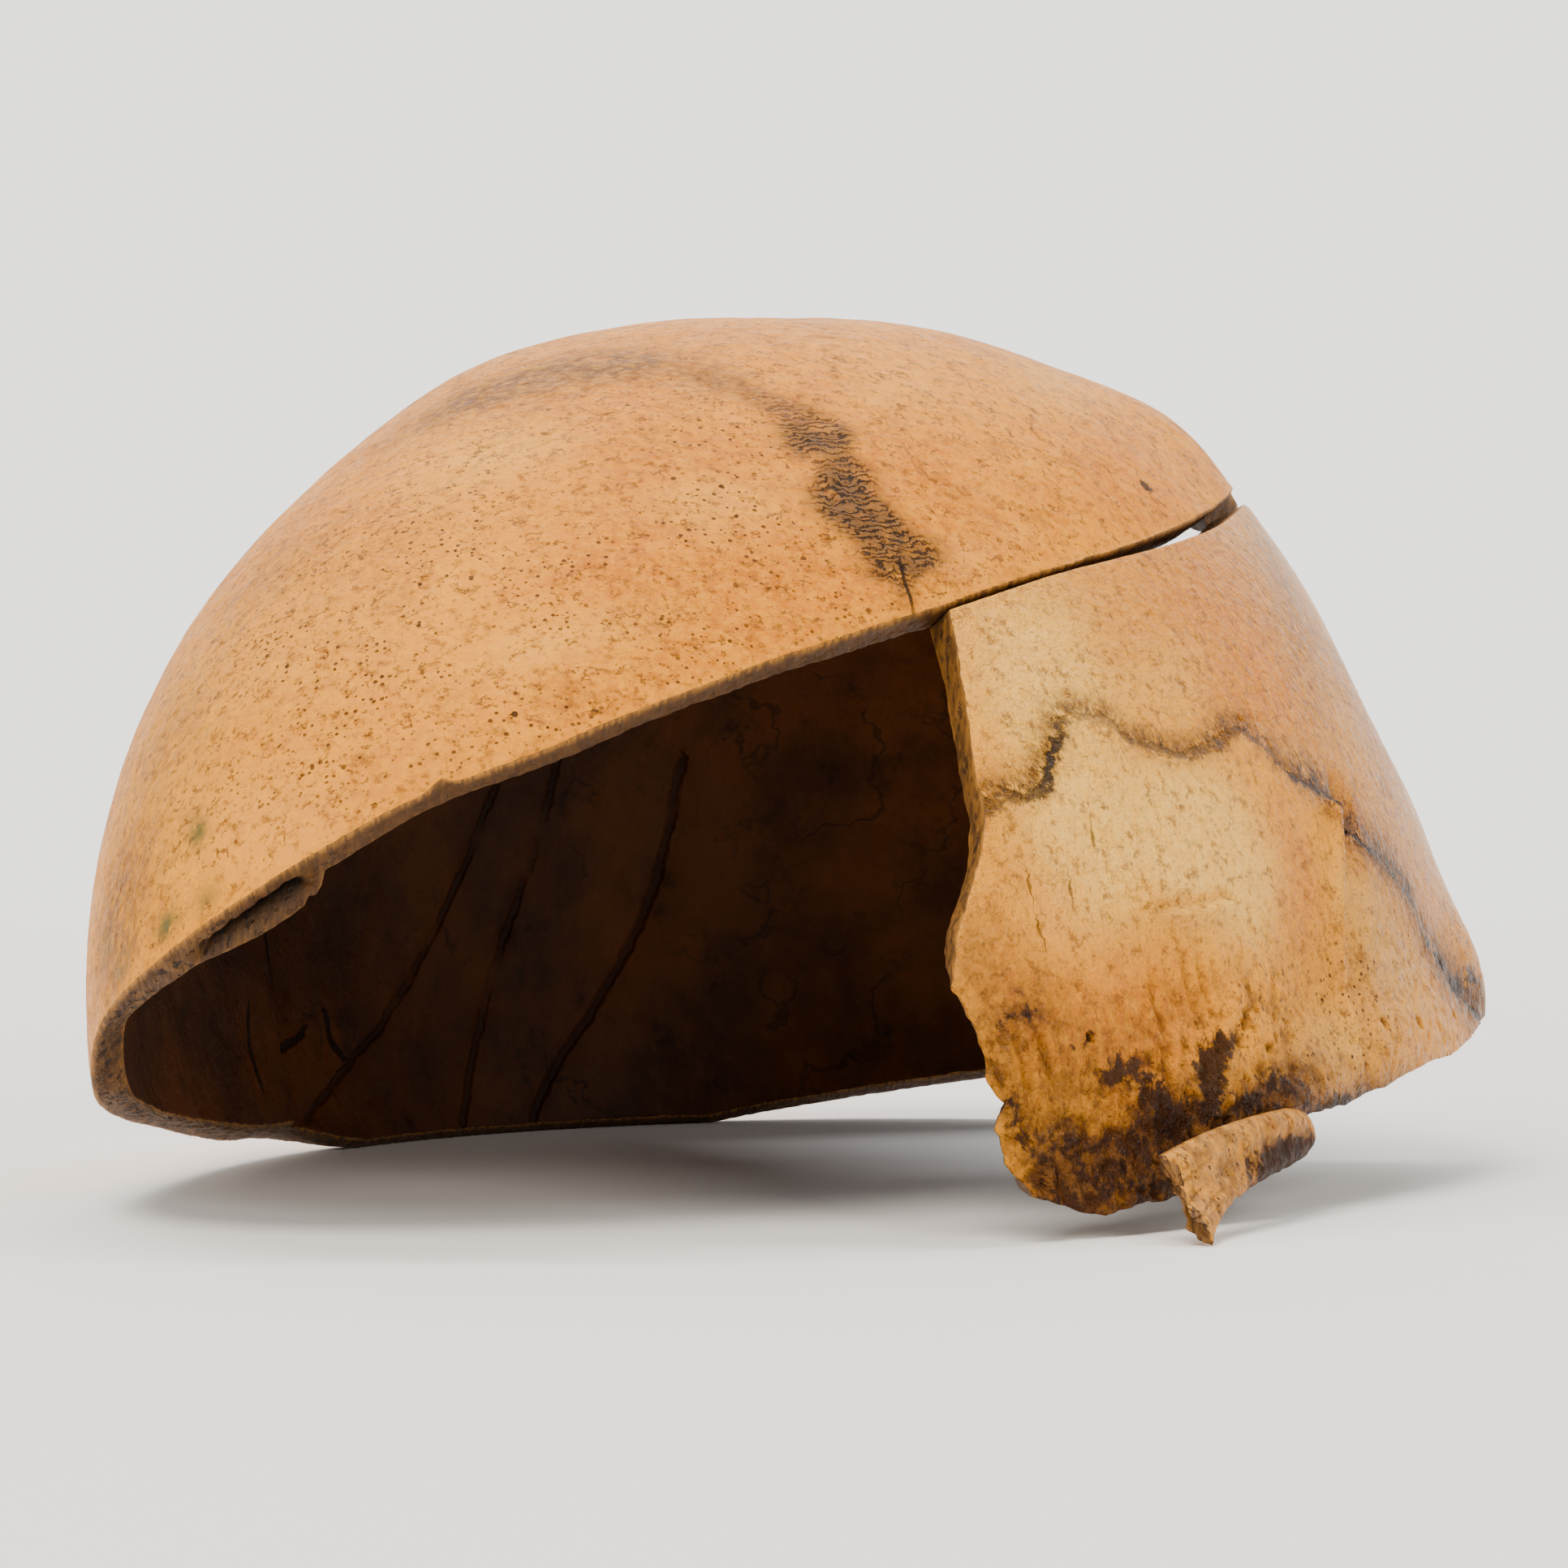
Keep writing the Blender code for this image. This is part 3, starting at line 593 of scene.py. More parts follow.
def inner_bone():
    """The inner table of the skull: brown bone with its ground darkened as painted shade inside the cap, soft
    stains and fine vessel grooves, almost dull.
    """
    material, tree, shader = new_material("inner_table_bone_with_painted_shade", 0.55)
    coords = node(tree, "TexCoord", out="Object")
    patchy = partial(patches, tree, coords)
    mark = {key: node(tree, "Attribute", out="Fac", attribute_name=key) for key in INNER_MARKS}
    mottle = patchy(13, 0.34, 0.64, 5, 0.6)
    # The dark ground colours are painted shade inside the cap
    ground = {0: mottle, 6: hex_colour("#3A1C05"), 7: hex_colour("#542C09")}
    colour = node(tree, "Mix", ground, out=2, data_type="RGBA")
    ragged_noise = {"Vector": coords, "Scale": 300.0, "Detail": 4.0, "Roughness": 0.6}
    ragged_noise = node(tree, "TexNoise", ragged_noise)
    groove = line_of(tree, mark["groove_off"], ragged_noise, 1.6, 0.75)
    for mask in (patchy(9, 0.34, 0.52, 2), mark["groove_near"]):
        groove = node(tree, "Math", {0: groove, 1: mask}, operation="MULTIPLY")
    slit = line_of(tree, mark["slit_off"], ragged_noise, 1.8, 0.8)
    slit = node(tree, "Math", {0: slit, 1: mark["slit_near"]}, operation="MULTIPLY")
    # A dark line painted along the inner step: painted shadow of the step
    step = line_of(tree, mark["step_shadow_off"], ragged_noise, 0.6, 0.9)
    veins_at = node(tree, "Mapping", {"Vector": coords, "Scale": (75, 90, 75)})
    veins = wiggles(tree, veins_at, 2.0, 0.025, 4.0)
    colour = layered(
        tree, colour, ("#623208", 0.50, patchy(30, 0.50, 0.68, 3)),
        ("#150802", 0.55, patchy(5, 0.55, 0.72, 5, 0.66)),
        ("#4F2C10", 0.5, patchy(2.2, 0.54, 0.72, 4, 0.7)),
        ("#0C0401", 0.60, groove), ("#080301", 0.90, slit), ("#080301", 0.85, step),
        ("#110702", 0.5, veins, patchy(16, 0.45, 0.60, 2)))
    tree.links.new(colour, shader.inputs["Base Color"])
    shader.inputs["Specular IOR Level"].default_value = 0.10
    deep = node(tree, "Math", {0: groove, 1: slit}, operation="MAXIMUM")
    deep = node(tree, "Math", {0: deep, 1: -1.0}, operation="MULTIPLY")
    soft = {"Vector": coords, "Scale": 330.0, "Detail": 5.0, "Roughness": 0.6}
    soft = node(tree, "TexNoise", soft)
    bumped(tree, shader, ((soft, 0.35), (deep, 0.35)))
    return material


def cut_bone():
    """Sawn and broken bone: brown spongy bone with open pores between two denser, yellower tables, and painted
    shade in the cave behind the splinter.
    """
    material, tree, shader = new_material("sawn_and_broken_spongy_bone", 0.6)
    coords = node(tree, "TexCoord", out="Object")
    patchy = partial(patches, tree, coords)
    mark = {key: node(tree, "Attribute", out="Fac", attribute_name=key) for key in CUT_MARKS}
    mottle = patchy(2.0, 0.34, 0.64, 5, 0.66)
    ground = {0: mottle, 6: hex_colour("#4E2F12"), 7: hex_colour("#775023")}
    colour = node(tree, "Mix", ground, out=2, data_type="RGBA")
    # Saw scratches, 0.4 mm apart, slanting across the cut
    slant = (0.3, 0.5, 0.9)
    scratch = patchy(0.4, 0.42, 0.62, 2, 0.5, stretch=(1, 7, 7), turn=slant)
    # Open cells of the spongy layer, up to 0.6 mm across, and caves where several have joined
    cells = pores(tree, coords, 0.95, 0.33, 0.75)
    caves = patchy(1.2, 0.56, 0.64, 3, 0.6)
    # The hollow mark is painted shade: near-black inside the cave behind the splinter
    colour = layered(
        tree, colour, ("#C2842C", 0.85, mark["dense"]), ("#55340F", 0.8, mark["brown"]),
        ("#432A12", 0.65, scratch), ("#2E190A", 0.85, cells, mark["spongy"]),
        ("#23120A", 0.85, caves, mark["spongy"]), ("#0D0502", 1.0, mark["hollow"]))
    tree.links.new(colour, shader.inputs["Base Color"])
    shader.inputs["Specular IOR Level"].default_value = 0.3
    open_cells = node(tree, "Math", {0: cells, 1: caves}, operation="MAXIMUM")
    open_cells = node(tree, "Math", {0: open_cells, 1: mark["spongy"]}, operation="MULTIPLY")
    open_cells = node(tree, "Math", {0: open_cells, 1: -1.0}, operation="MULTIPLY")
    grit = {"Vector": coords, "Scale": 1100.0, "Detail": 4.0, "Roughness": 0.65}
    grit = node(tree, "TexNoise", grit)
    bumped(tree, shader, ((open_cells, 0.30), (grit, 0.20), (scratch, 0.05)))
    return material


# The cap is dull, with a faint sheen; the temple bone is polished by handling and looks waxy, and its paler
# ground colours are painted sheen
OUTER = outer_bone("dry_compact_bone_dull", 0.06, 0.34, 0.34, 0.75, "#E48E10", "#CE780A")
TEMPLE = outer_bone("dry_compact_bone_polished_with_painted_sheen", 0.12, 0.20, 0.90, 0.35, "#EC9A14", "#D4820C")
INNER = inner_bone()
CUT = cut_bone()

# Marks on the cap's outer surface: azimuth, rise, two spreads in degrees, strength
CAP_SPOTS = {
    "grey": ((29, 59, 5, 4, 0.8), (39, 58.5, 6, 3.5, 0.9), (46, 57.5, 5, 3.5, 0.95), (52, 54.5, 4, 3, 0.9),
             (57, 49, 3, 3, 0.7), (57, 24, 3, 2, 0.6), (-4, 33, 5, 5, 0.5), (-7, 24, 5, 4, 0.55),
             (-11, 22, 4, 5, 0.6), (6, 43, 6, 4, 0.3), (105, 60, 8, 6, 0.25), (28, 72, 10, 5, 0.35)),
    "orange": ((33, 30, 6, 3, 0.9), (46, 24, 6, 3, 0.8), (59, 32, 4, 5, 0.8), (16, 24, 6, 3, 0.3),
               (49, 39, 5, 3, 0.5), (95, 29, 7, 4, 0.5), (65, 44, 6, 3, 0.6), (70, 34, 5, 4, 0.5),
               (6, 27, 5, 3, 0.4), (88, 24, 8, 2, 0.4)),
    "cream_and_painted_light": ((2, 30, 16, 16, 0.30), (44, 34, 5, 3, 0.25), (30, 46, 6, 4, 0.3), (27, 25, 6, 2, 0.25),
              (75, 42, 6, 3, 0.2), (105, 38, 8, 4, 0.25)),
    "pink": ((7, 18, 4, 3, 0.4), (4, 22, 4, 3, 0.35), (9, 15, 4, 2, 0.4), (62, 23, 3, 2, 0.5),
             (69, 24, 3, 2, 0.2)),
    "stain_and_shade": ((84.5, 36.8, 0.5, 0.5, 0.7), (95.8, 25.4, 0.9, 0.7, 0.7), (97.6, 29, 0.8, 0.5, 0.35),
              (26.2, 18.6, 0.7, 0.6, 0.5), (44.3, 15.4, 0.6, 0.5, 0.6)),
}
GREEN = ((0.4, 22.9, 0.8, 1.1, 1.2), (-3.3, 18.6, 1.0, 0.9, 1.2), (-8.9, 19, 1.3, 1.0, 0.9),
         (-11.8, 21.7, 1.1, 1.0, 0.9), (0.4, 18.1, 1.0, 0.9, 0.8))
POROUS = ((25, 30, 22, 16, 0.9), (15, 22, 14, 7, 0.5), (48, 20, 10, 4, 0.5), (45, 36, 12, 10, 0.4))

# The coronal suture's middle by rise, how far its lines swing in millimetres, and how dark it is
SUTURE_MIDDLE = ((20, 53.2), (22, 54.3), (24.5, 56.5), (29, 55.8), (31, 55.5), (33.4, 57.4), (36.7, 58.9),
                 (39.3, 59.6), (42.2, 60), (44.5, 59), (49.8, 57.3), (60, 50))
SUTURE_SWING = ((20, 0.8), (22.5, 1.2), (23.5, 4.8), (26, 4.6), (27, 3.4), (28, 4.0), (33, 4.2), (35.5, 2.4),
                (38, 4.4), (40.5, 3.4), (43, 2.2), (47, 1.6), (60, 1.2))
SUTURE_DARK = ((19, 0.0), (21, 0.3), (23, 0.9), (27, 1.0), (34, 1.0), (36, 0.7), (38, 1.0), (41.5, 0.7),
               (45, 0.4), (50, 0.15), (58, 0.0))
FOOT_CRACKS = (((55.6, 24.2), (54.6, 22.6), (54.3, 21.6), (53.4, 19.8)),)

# Vessel grooves, slits and the step on the inner far wall, with a shadow painted along the step
VESSEL_GROOVES = (((-86.6, 20.7), (-95, 23.2), (-103.7, 25.3), (-114.9, 28.5), (-127.9, 34.7), (-138, 42)),
                  ((-118.6, 14.6), (-124, 20.5), (-129.2, 25.5), (-141.2, 34.9), (-150, 44)),
                  ((-127.2, 11.9), (-133, 15.5), (-139.1, 17.8), (-148.7, 23.4), (-157, 32)))
STEP_SHADOW_LINE = ((-80.0, 44), (-80.4, 38.3), (-82.5, 29.9), (-81.3, 19.0))
INNER_SLITS = (((-71, 34), (-70.5, 29), (-71.5, 26)), ((-84, 29.5), (-90, 29.6), (-93, 30.5)),
               ((-99, 31), (-99.6, 28), (-101.5, 26.5)))


def by_rise(rise, table):
    knots = np.array(table, float)
    return np.interp(rise, knots[:, 0], knots[:, 1])


def nearest_line(azimuth, rise, lines):
    """Millimetres to the nearest of several lines of places, signed by its side."""
    nearest = np.full(np.shape(azimuth), FAR_OFF)
    for line in lines:
        off, _ = line_marks(azimuth, rise, rounded(line))
        nearest = np.where(np.abs(off) < np.abs(nearest), off, nearest)
    return nearest


def near_line(azimuth, rise, lines):
    """1 close to the lines, and 0 where two of them are as far off as each other."""
    return 1 - smooth(np.abs(nearest_line(azimuth, rise, lines)), 1.2, 2.2)


def outer_marks(azimuth, rise):
    """What the outer bone's material reads on the cap."""
    turn = signed_turn(azimuth)
    reach = math.radians(1) * CAP_RADIUS * np.cos(np.radians(rise))
    across = (turn - by_rise(rise, SUTURE_MIDDLE)) * reach
    in_front = (turn > 20) & (turn < 100)
    swing = by_rise(rise, SUTURE_SWING)
    dark = by_rise(rise, SUTURE_DARK) * (1 - smooth(np.abs(across), swing * 0.75, swing * 1.05)) * in_front
    return all_spots(azimuth, rise, CAP_SPOTS) | {
        "green": spots(azimuth, rise, GREEN), "porous": np.clip(0.45 + spots(azimuth, rise, POROUS), 0, 1),
        "coronal_across": across,
        "coronal_along": rise * math.radians(1) * CAP_RADIUS + 0.25 * across, "coronal": dark,
        "coronal_band": by_rise(rise, SUTURE_DARK) * np.exp(-(across / (swing + 0.5)) ** 4) * in_front,
        "crack_off": nearest_line(azimuth, rise, FOOT_CRACKS),
        "crack_near": near_line(azimuth, rise, FOOT_CRACKS),
    }


def all_marks(grid_shape, outer, inner, rows):
    """Every mark on the outer grid, the inner grid and the rows between, with those that a side lacks off."""
    marks = {}
    for key in ALL_MARKS:
        off = MARKS_OFF.get(key, 0.0)
        sides = [side.get(key, np.full(grid_shape, off)) for side in (outer, inner)]
        marks[key] = sides + [row.get(key, np.full(row["dense"].shape, off)) for row in rows]
    return marks


# The notch in the saw cut, the splinter under it and the cave behind the splinter, in millimetres
NOTCH_DEEP = 0.8
NOTCH_SIDE_DEEP = 0.3
SPLINTER_LONG = 1.6
SPLINTER_FORK = 0.6
CAVE_DEEP = 2.6

# Where the rows across the cut lie, by share of the wall: closer together at the splinter
RIM_SHARES = (0.012, 0.04, 0.08, 0.14, 0.22, 0.32, 0.42, 0.52, 0.60, 0.67, 0.73, 0.77, 0.80, 0.825, 0.85, 0.875,
              0.90, 0.93, 0.96, 0.985)


def edge_lift(azimuth, share, wall):
    """How far the sawn edge is raised: worn corners, saw scratches, torn cells, the notch and the splinter.

    Behind the splinter the spongy bone is gone, and the splinter is a thin fin of the inner table.
    """
    signed = signed_turn(azimuth)
    from_outside = share * wall
    from_inside = (1 - share) * wall
    corner = 0.42 * np.exp(-from_outside / 0.40) + 0.15 * np.exp(-from_inside / 0.2)
    scratches = 0.03 * np.sin(signed * 5.2 + share * 9) + 0.02 * np.sin(signed * 3.7 - share * 14)
    place = direction(azimuth, 20.0) * (70 - from_outside)[..., None]
    spongy = smooth(share, 0.2, 0.35) * (1 - smooth(share, 0.8, 0.95))
    torn = 0.16 * smooth(grain(place, 0.9, 3, 2), 0.1, 0.6) * spongy
    uneven = 0.10 * grain(place, 5.0, 5, 3) + 0.10 * grain(place, 1.4, 6, 2) * smooth(share, 0.7, 1.0)
    notch = NOTCH_DEEP * hump(signed, 16.2, 0.5) * (1 - smooth(share, 0.3, 0.8))
    notch = notch + NOTCH_SIDE_DEEP * hump(signed, 15.4, 0.5) * (1 - share)
    splinter = splinter_cave(signed, share) - splinter_drop(signed, share)
    return corner + scratches + torn + uneven + notch + splinter


def splinter_cave(signed, share):
    window = smooth(signed, -3.5, -1.0) * (1 - smooth(signed, 4.6, 6.2))
    return CAVE_DEEP * window * smooth(share, 0.42, 0.54) * (1 - smooth(share, 0.86, 0.90))


def splinter_drop(signed, share):
    length = SPLINTER_LONG * smooth(signed, -5.0, 4.2) * (1 - smooth(signed, 6.2, 6.9))
    fork = SPLINTER_FORK * hump(signed, 5.7, 0.28) * (length > 0.5)
    return (length - fork) * smooth(share, 0.86, 0.90)


def build_cap():
    """The cap: smooth outer vault, sawn and broken rim, grooved inner vault."""
    azimuth, share = disk_grid(CAP_CELLS)
    loop = edge_loop(CAP_CELLS, CAP_CELLS)
    edge = np.array([azimuth[place] for place in loop])
    border_wall = cap_wall(edge, 20.0)
    rim_out = edge_lift(edge, np.zeros(edge.shape), border_wall)
    rim_in = edge_lift(edge, np.ones(edge.shape), border_wall)
    order = np.argsort(edge)
    lift_out = np.interp(azimuth, edge[order], rim_out[order], period=360)
    lift_in = np.interp(azimuth, edge[order], rim_in[order], period=360)
    outer_rise = 90 - share * (90 - rim_rise(azimuth, np.zeros(azimuth.shape), lift_out))
    flat = bone_point(azimuth, outer_rise, 0.0)
    marks_out = outer_marks(azimuth, outer_rise)
    marks_out["cut_near"] = smooth(share, 0.985, 0.999)
    relief = 0.12 * grain(flat, 14, 1, 3) + 0.05 * grain(flat, 3.2, 2, 3)
    relief = relief + 0.10 * marks_out["coronal"] * grain(flat, 1.6, 4, 2)
    outer = bone_point(azimuth, outer_rise, SKIN_SET_IN - relief)
    inner_rise = 90 - share * (90 - rim_rise(azimuth, np.ones(azimuth.shape), lift_in))
    grooves = nearest_line(azimuth, inner_rise, VESSEL_GROOVES)
    slits = nearest_line(azimuth, inner_rise, INNER_SLITS)
    steps = nearest_line(azimuth, inner_rise, (STEP_SHADOW_LINE,))
    inner_marks = {"groove_off": grooves, "slit_off": slits, "step_shadow_off": steps,
                   "groove_near": near_line(azimuth, inner_rise, VESSEL_GROOVES),
                   "slit_near": near_line(azimuth, inner_rise, INNER_SLITS)}
    away = 1 - smooth(share, 0.975, 1.0)
    lumps_in = (0.25 * grain(flat, 11, 8, 3) + 0.08 * grain(flat, 2.8, 9, 3)) * away
    sunk = 0.30 * (1 - smooth(np.abs(grooves), 0.3, 1.8)) * away
    inner = bone_point(azimuth, inner_rise, cap_wall(azimuth, inner_rise) - sunk + lumps_in)
    true_wall = cap_wall(edge, rim_rise(edge, np.ones(edge.shape), rim_in))
    signed = signed_turn(edge)
    left_end = smooth(-signed, -14, 4) * (1 - smooth(-signed, 95, 110))
    rows = []
    rim_marks = []
    for at in RIM_SHARES:
        level = np.full(edge.shape, at)
        lift = edge_lift(edge, level, border_wall)
        rise = rim_rise(edge, level, lift)
        rows.append(bone_point(edge, rise, at * true_wall + SKIN_SET_IN * (1 - at)))
        dense = min(math.exp(-at * 4.3 / 0.30) + 0.8 * math.exp(-(1 - at) * 4.3 / 0.22), 1)
        # The hollow mark paints shade, near-black, into the cave behind the splinter
        cave = splinter_cave(signed, level) - splinter_drop(signed, level)
        window = smooth(signed, -3.5, -1.0) * (1 - smooth(signed, 5.2, 6.4)) * smooth(level, 0.40, 0.50)
        middle = float(smooth(at, 0.12, 0.3) * (1 - smooth(at, 0.85, 0.97)))
        rim_marks.append({"dense": np.full(edge.shape, dense), "spongy": middle * (0.25 + 0.75 * left_end),
                          "hollow": window * smooth(cave, -0.9, 0.2), "brown": middle * (1 - 0.8 * left_end)})
    cap = wall_mesh("skull_cap_bone", outer, inner, rows, (CAP_CELLS, CAP_CELLS), (OUTER, INNER, CUT),
                    all_marks(azimuth.shape, marks_out, inner_marks, rim_marks))
    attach(cap, "root")
    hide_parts("skull_cap")
    return cap


# The lower piece's edges, by azimuth and rise, as in the CAD source
PIECE_FRONT = [(56.8, 0), (53.1, 12.6), (50.3, 7.5), (48.2, 2.9), (45.8, -0.2), (41.3, -4.0), (39.4, -6.3),
               (38.1, -9.5), (37.8, -11.9), (37.9, -14.4), (38.3, -16.1), (36.7, -17.0), (35.9, -19.9),
               (36.4, -22.2)]
PIECE_FOOT = [(36.4, -22.2), (41.2, -26.6), (47.6, -28.8), (58.0, -32.0), (70.3, -31.1), (88.9, -32.0),
              (109.9, -30.2), (120.0, -28.0), (131.0, -24.5), (138.0, -20.0)]
PIECE_BACK = [(126.0, 0), (131.0, 16.0), (138.0, 6.0), (142.0, -5.0), (141.0, -14.0), (138.0, -20.0)]

# The scale suture as the photo shows it, and the marks of the lower piece
SCALE_SUTURE = ((30, 1.0), (44, 2.4), (48.2, 2.9), (50.8, 3.8), (52.6, 2.9), (54.6, 3.2), (56.4, 4.6),
                (58.6, 6.0), (60.4, 7.6), (62.7, 8.0), (64.2, 7.2), (66.2, 6.4), (66.8, 4.4), (69.5, 3.1),
                (73.2, 1.5), (78.8, 1.6), (81.5, 2.4), (83.6, 2.0), (86.2, -0.4), (88.3, -3.2), (92.5, -4.8),
                (95.7, -7.4), (99.0, -10.8), (103.6, -13.3), (107.5, -16.3), (109.2, -19.3), (112.2, -21.4),
                (118, -24.0), (126, -25.5), (140, -28))
SCALE_LEDGE = 0.5
PIECE_SPOTS = {
    # The cream spots on the lower piece are painted sheen
    "cream_and_painted_light": ((64, 14, 9, 6, 0.9), (60, 8, 7, 6, 0.8), (62, -2, 9, 5, 1.0), (68, -7, 8, 6, 1.0),
              (55, 0, 5, 4, 0.7), (74, -12, 7, 5, 0.8), (54, -7, 5, 4, 0.6), (80, 8, 7, 5, 0.5),
              (92, -15, 6, 4, 0.6), (98, -22, 8, 4, 0.6), (82, -26, 8, 3, 0.5), (72, -4, 6, 4, 0.6)),
    "orange": ((83, -11, 4, 6, 0.9), (78, -16, 4, 4, 0.8), (86, 5, 8, 4, 0.8), (95, 5, 9, 7, 0.8),
               (84, 14, 8, 5, 0.7), (98, 14, 9, 6, 0.6), (47, -14, 8, 4, 1.0), (55, -18, 8, 4, 0.9),
               (42, -9, 3, 4, 0.7), (98, -8, 4, 5, 0.8), (106, -16, 3, 5, 0.9), (112, -24, 4, 4, 0.6),
               (66, 2, 6, 2, 0.2), (72, 13, 7, 4, 0.4), (48, -24, 8, 4, 0.8)),
    "grey": ((111, 13, 5, 6, 0.6), (104, 8, 5, 5, 0.35), (118, 18, 5, 4, 0.6), (100, 2, 4, 4, 0.35),
             (116, 2, 5, 8, 0.4)),
    "pink": ((57, 16, 4, 4, 0.3), (50, -6, 4, 4, 0.3), (90, -24, 6, 4, 0.3), (100, -20, 5, 4, 0.3),
             (125, -10, 6, 10, 0.4)),
    # The foot spots paint shade along the lower piece's foot, which faces down
    "foot": ((46, -28, 9, 4.2, 1.0), (57, -30.5, 8, 3.2, 0.9), (40, -24, 4, 4, 0.7), (43, -13, 4, 5, 0.30),
             (41, -7, 3, 4, 0.25), (48, -17, 6, 3, 0.30), (50, -25, 9, 3, 0.5), (66, -29, 6, 3, 0.7),
             (44, -28, 7, 4, 0.9), (40, -22, 3, 4, 0.7), (52, -30, 7, 3, 0.9), (60, -31, 7, 3, 0.7),
             (48, -24, 5, 2.5, 0.45), (75, -32, 8, 2, 0.9), (90, -32.5, 12, 1.6, 0.7), (38, -15, 1.6, 5, 0.5),
             (42, -12, 3, 2, 0.35), (67, -28, 5, 2, 0.6)),
    "dusty": ((95, -20, 14, 7, 0.55), (75, -27, 10, 4, 0.6), (110, 0, 8, 16, 0.35), (40, -2, 4, 8, 0.3)),
    "stain_and_shade": ((48.5, -18.9, 2.8, 1.2, 0.7), (50.8, -21.7, 1.6, 1.8, 0.8), (51.8, -24.6, 2.0, 1.5, 0.95),
              (60.3, -21.6, 2.8, 1.1, 0.8), (58.2, -23.4, 2.0, 1.6, 0.9), (56.6, -25.4, 1.4, 1.2, 0.7),
              (66, -26.4, 2.6, 1.1, 0.6), (61.5, -26.8, 1.6, 1.0, 0.7), (75, -31.5, 6, 1.4, 0.7),
              (44, -24.5, 3.0, 1.0, 0.5), (41, -27.5, 3.0, 1.2, 0.5), (115, -22, 3.0, 1.0, 0.65),
              (119.5, -23.5, 2.4, 0.9, 0.7), (125, -22.4, 2.4, 1.2, 0.6), (108, -16, 1.2, 2.2, 0.45),
              (42, -11.5, 2.0, 1.0, 0.4), (46, -15.5, 1.6, 0.6, 0.45), (37.8, -18, 1.0, 2, 0.5)),
}
# Small vessel holes with their size in millimetres, the muscle scar's lip, nicks, the ridge and the nub
PIECE_SMALL_HOLES = ((90.7, -26.6, 1.1), (99.8, -27.3, 1.1), (53.4, -26.3, 0.8), (84.4, 2.9, 0.6),
                     (47.0, -15.6, 0.9), (96.5, -9.5, 0.7), (113.5, -26.5, 0.8), (106, -27.8, 0.7),
                     (58, -27.5, 0.6))
SCAR = ((59.2, -7.6), (59.3, -9.2), (60.2, -10.2), (62.4, -10.7), (65.5, -11.4), (69.3, -11.7))
NICKS = (((57.1, -1.9), (56.7, -2.8)), ((48.6, -3.3), (48.4, -3.9)), ((47.3, -6.8), (47.2, -7.3)),
         ((52, -5.2), (51.8, -5.6)))
TEMPLE_RIDGE = ((94.5, -7.0), (91.2, -11.6), (87.7, -15.7), (85.1, -21.3), (84, -26))
NUB = (59.2, -25.6)
GRAIN_SLOPE = 0.35

# Heights and depths of the lower piece's relief, in millimetres
STRIPE_HIGH = 0.28
LIP_HIGH = 0.75
LIP_DITCH = 0.50
RIDGE_HIGH = 0.80
RIDGE_DITCH = 0.80
SHELF_HIGH = 0.9
HOLLOW_DEEP = 0.8
NUB_HIGH = 0.8
HOLE_DEEP = 0.9
NICK_DEEP = 0.25
PIT_DEEP = 0.40


def along(points, share):
    """Places along given points of azimuth and rise, by share of the length."""
    points = np.array(points, float)
    steps = np.linalg.norm(np.diff(points, axis=0), axis=1)
    place = np.concatenate([[0], np.cumsum(steps)]) / steps.sum()
    return np.stack([np.interp(share, place, points[:, k]) for k in (0, 1)], -1)


def splintered(place, seed):
    """The finer teeth of a broken edge, in four sizes."""
    sizes = ((0.7, 1.0), (1.7, 0.6), (3.7, 0.35), (7.1, 0.2))
    flat = np.array([sum(high * noise.noise(Vector((p * often, seed, often))) for often, high in sizes)
                     for p in np.ravel(place)])
    return flat.reshape(np.shape(place))


def patch(front, foot, back, top, columns, rows):
    """Fill four edges of azimuth and rise with a grid."""
    s = np.linspace(0, 1, columns + 1)[:, None, None]
    t = np.linspace(0, 1, rows + 1)[None, :, None]
    sides = (1 - s) * front[None] + s * back[None]
    ends = (1 - t) * top[:, None] + t * foot[:, None]
    corners = (1 - s) * ((1 - t) * top[0] + t * foot[0]) + s * ((1 - t) * top[-1] + t * foot[-1])
    return sides + ends - corners


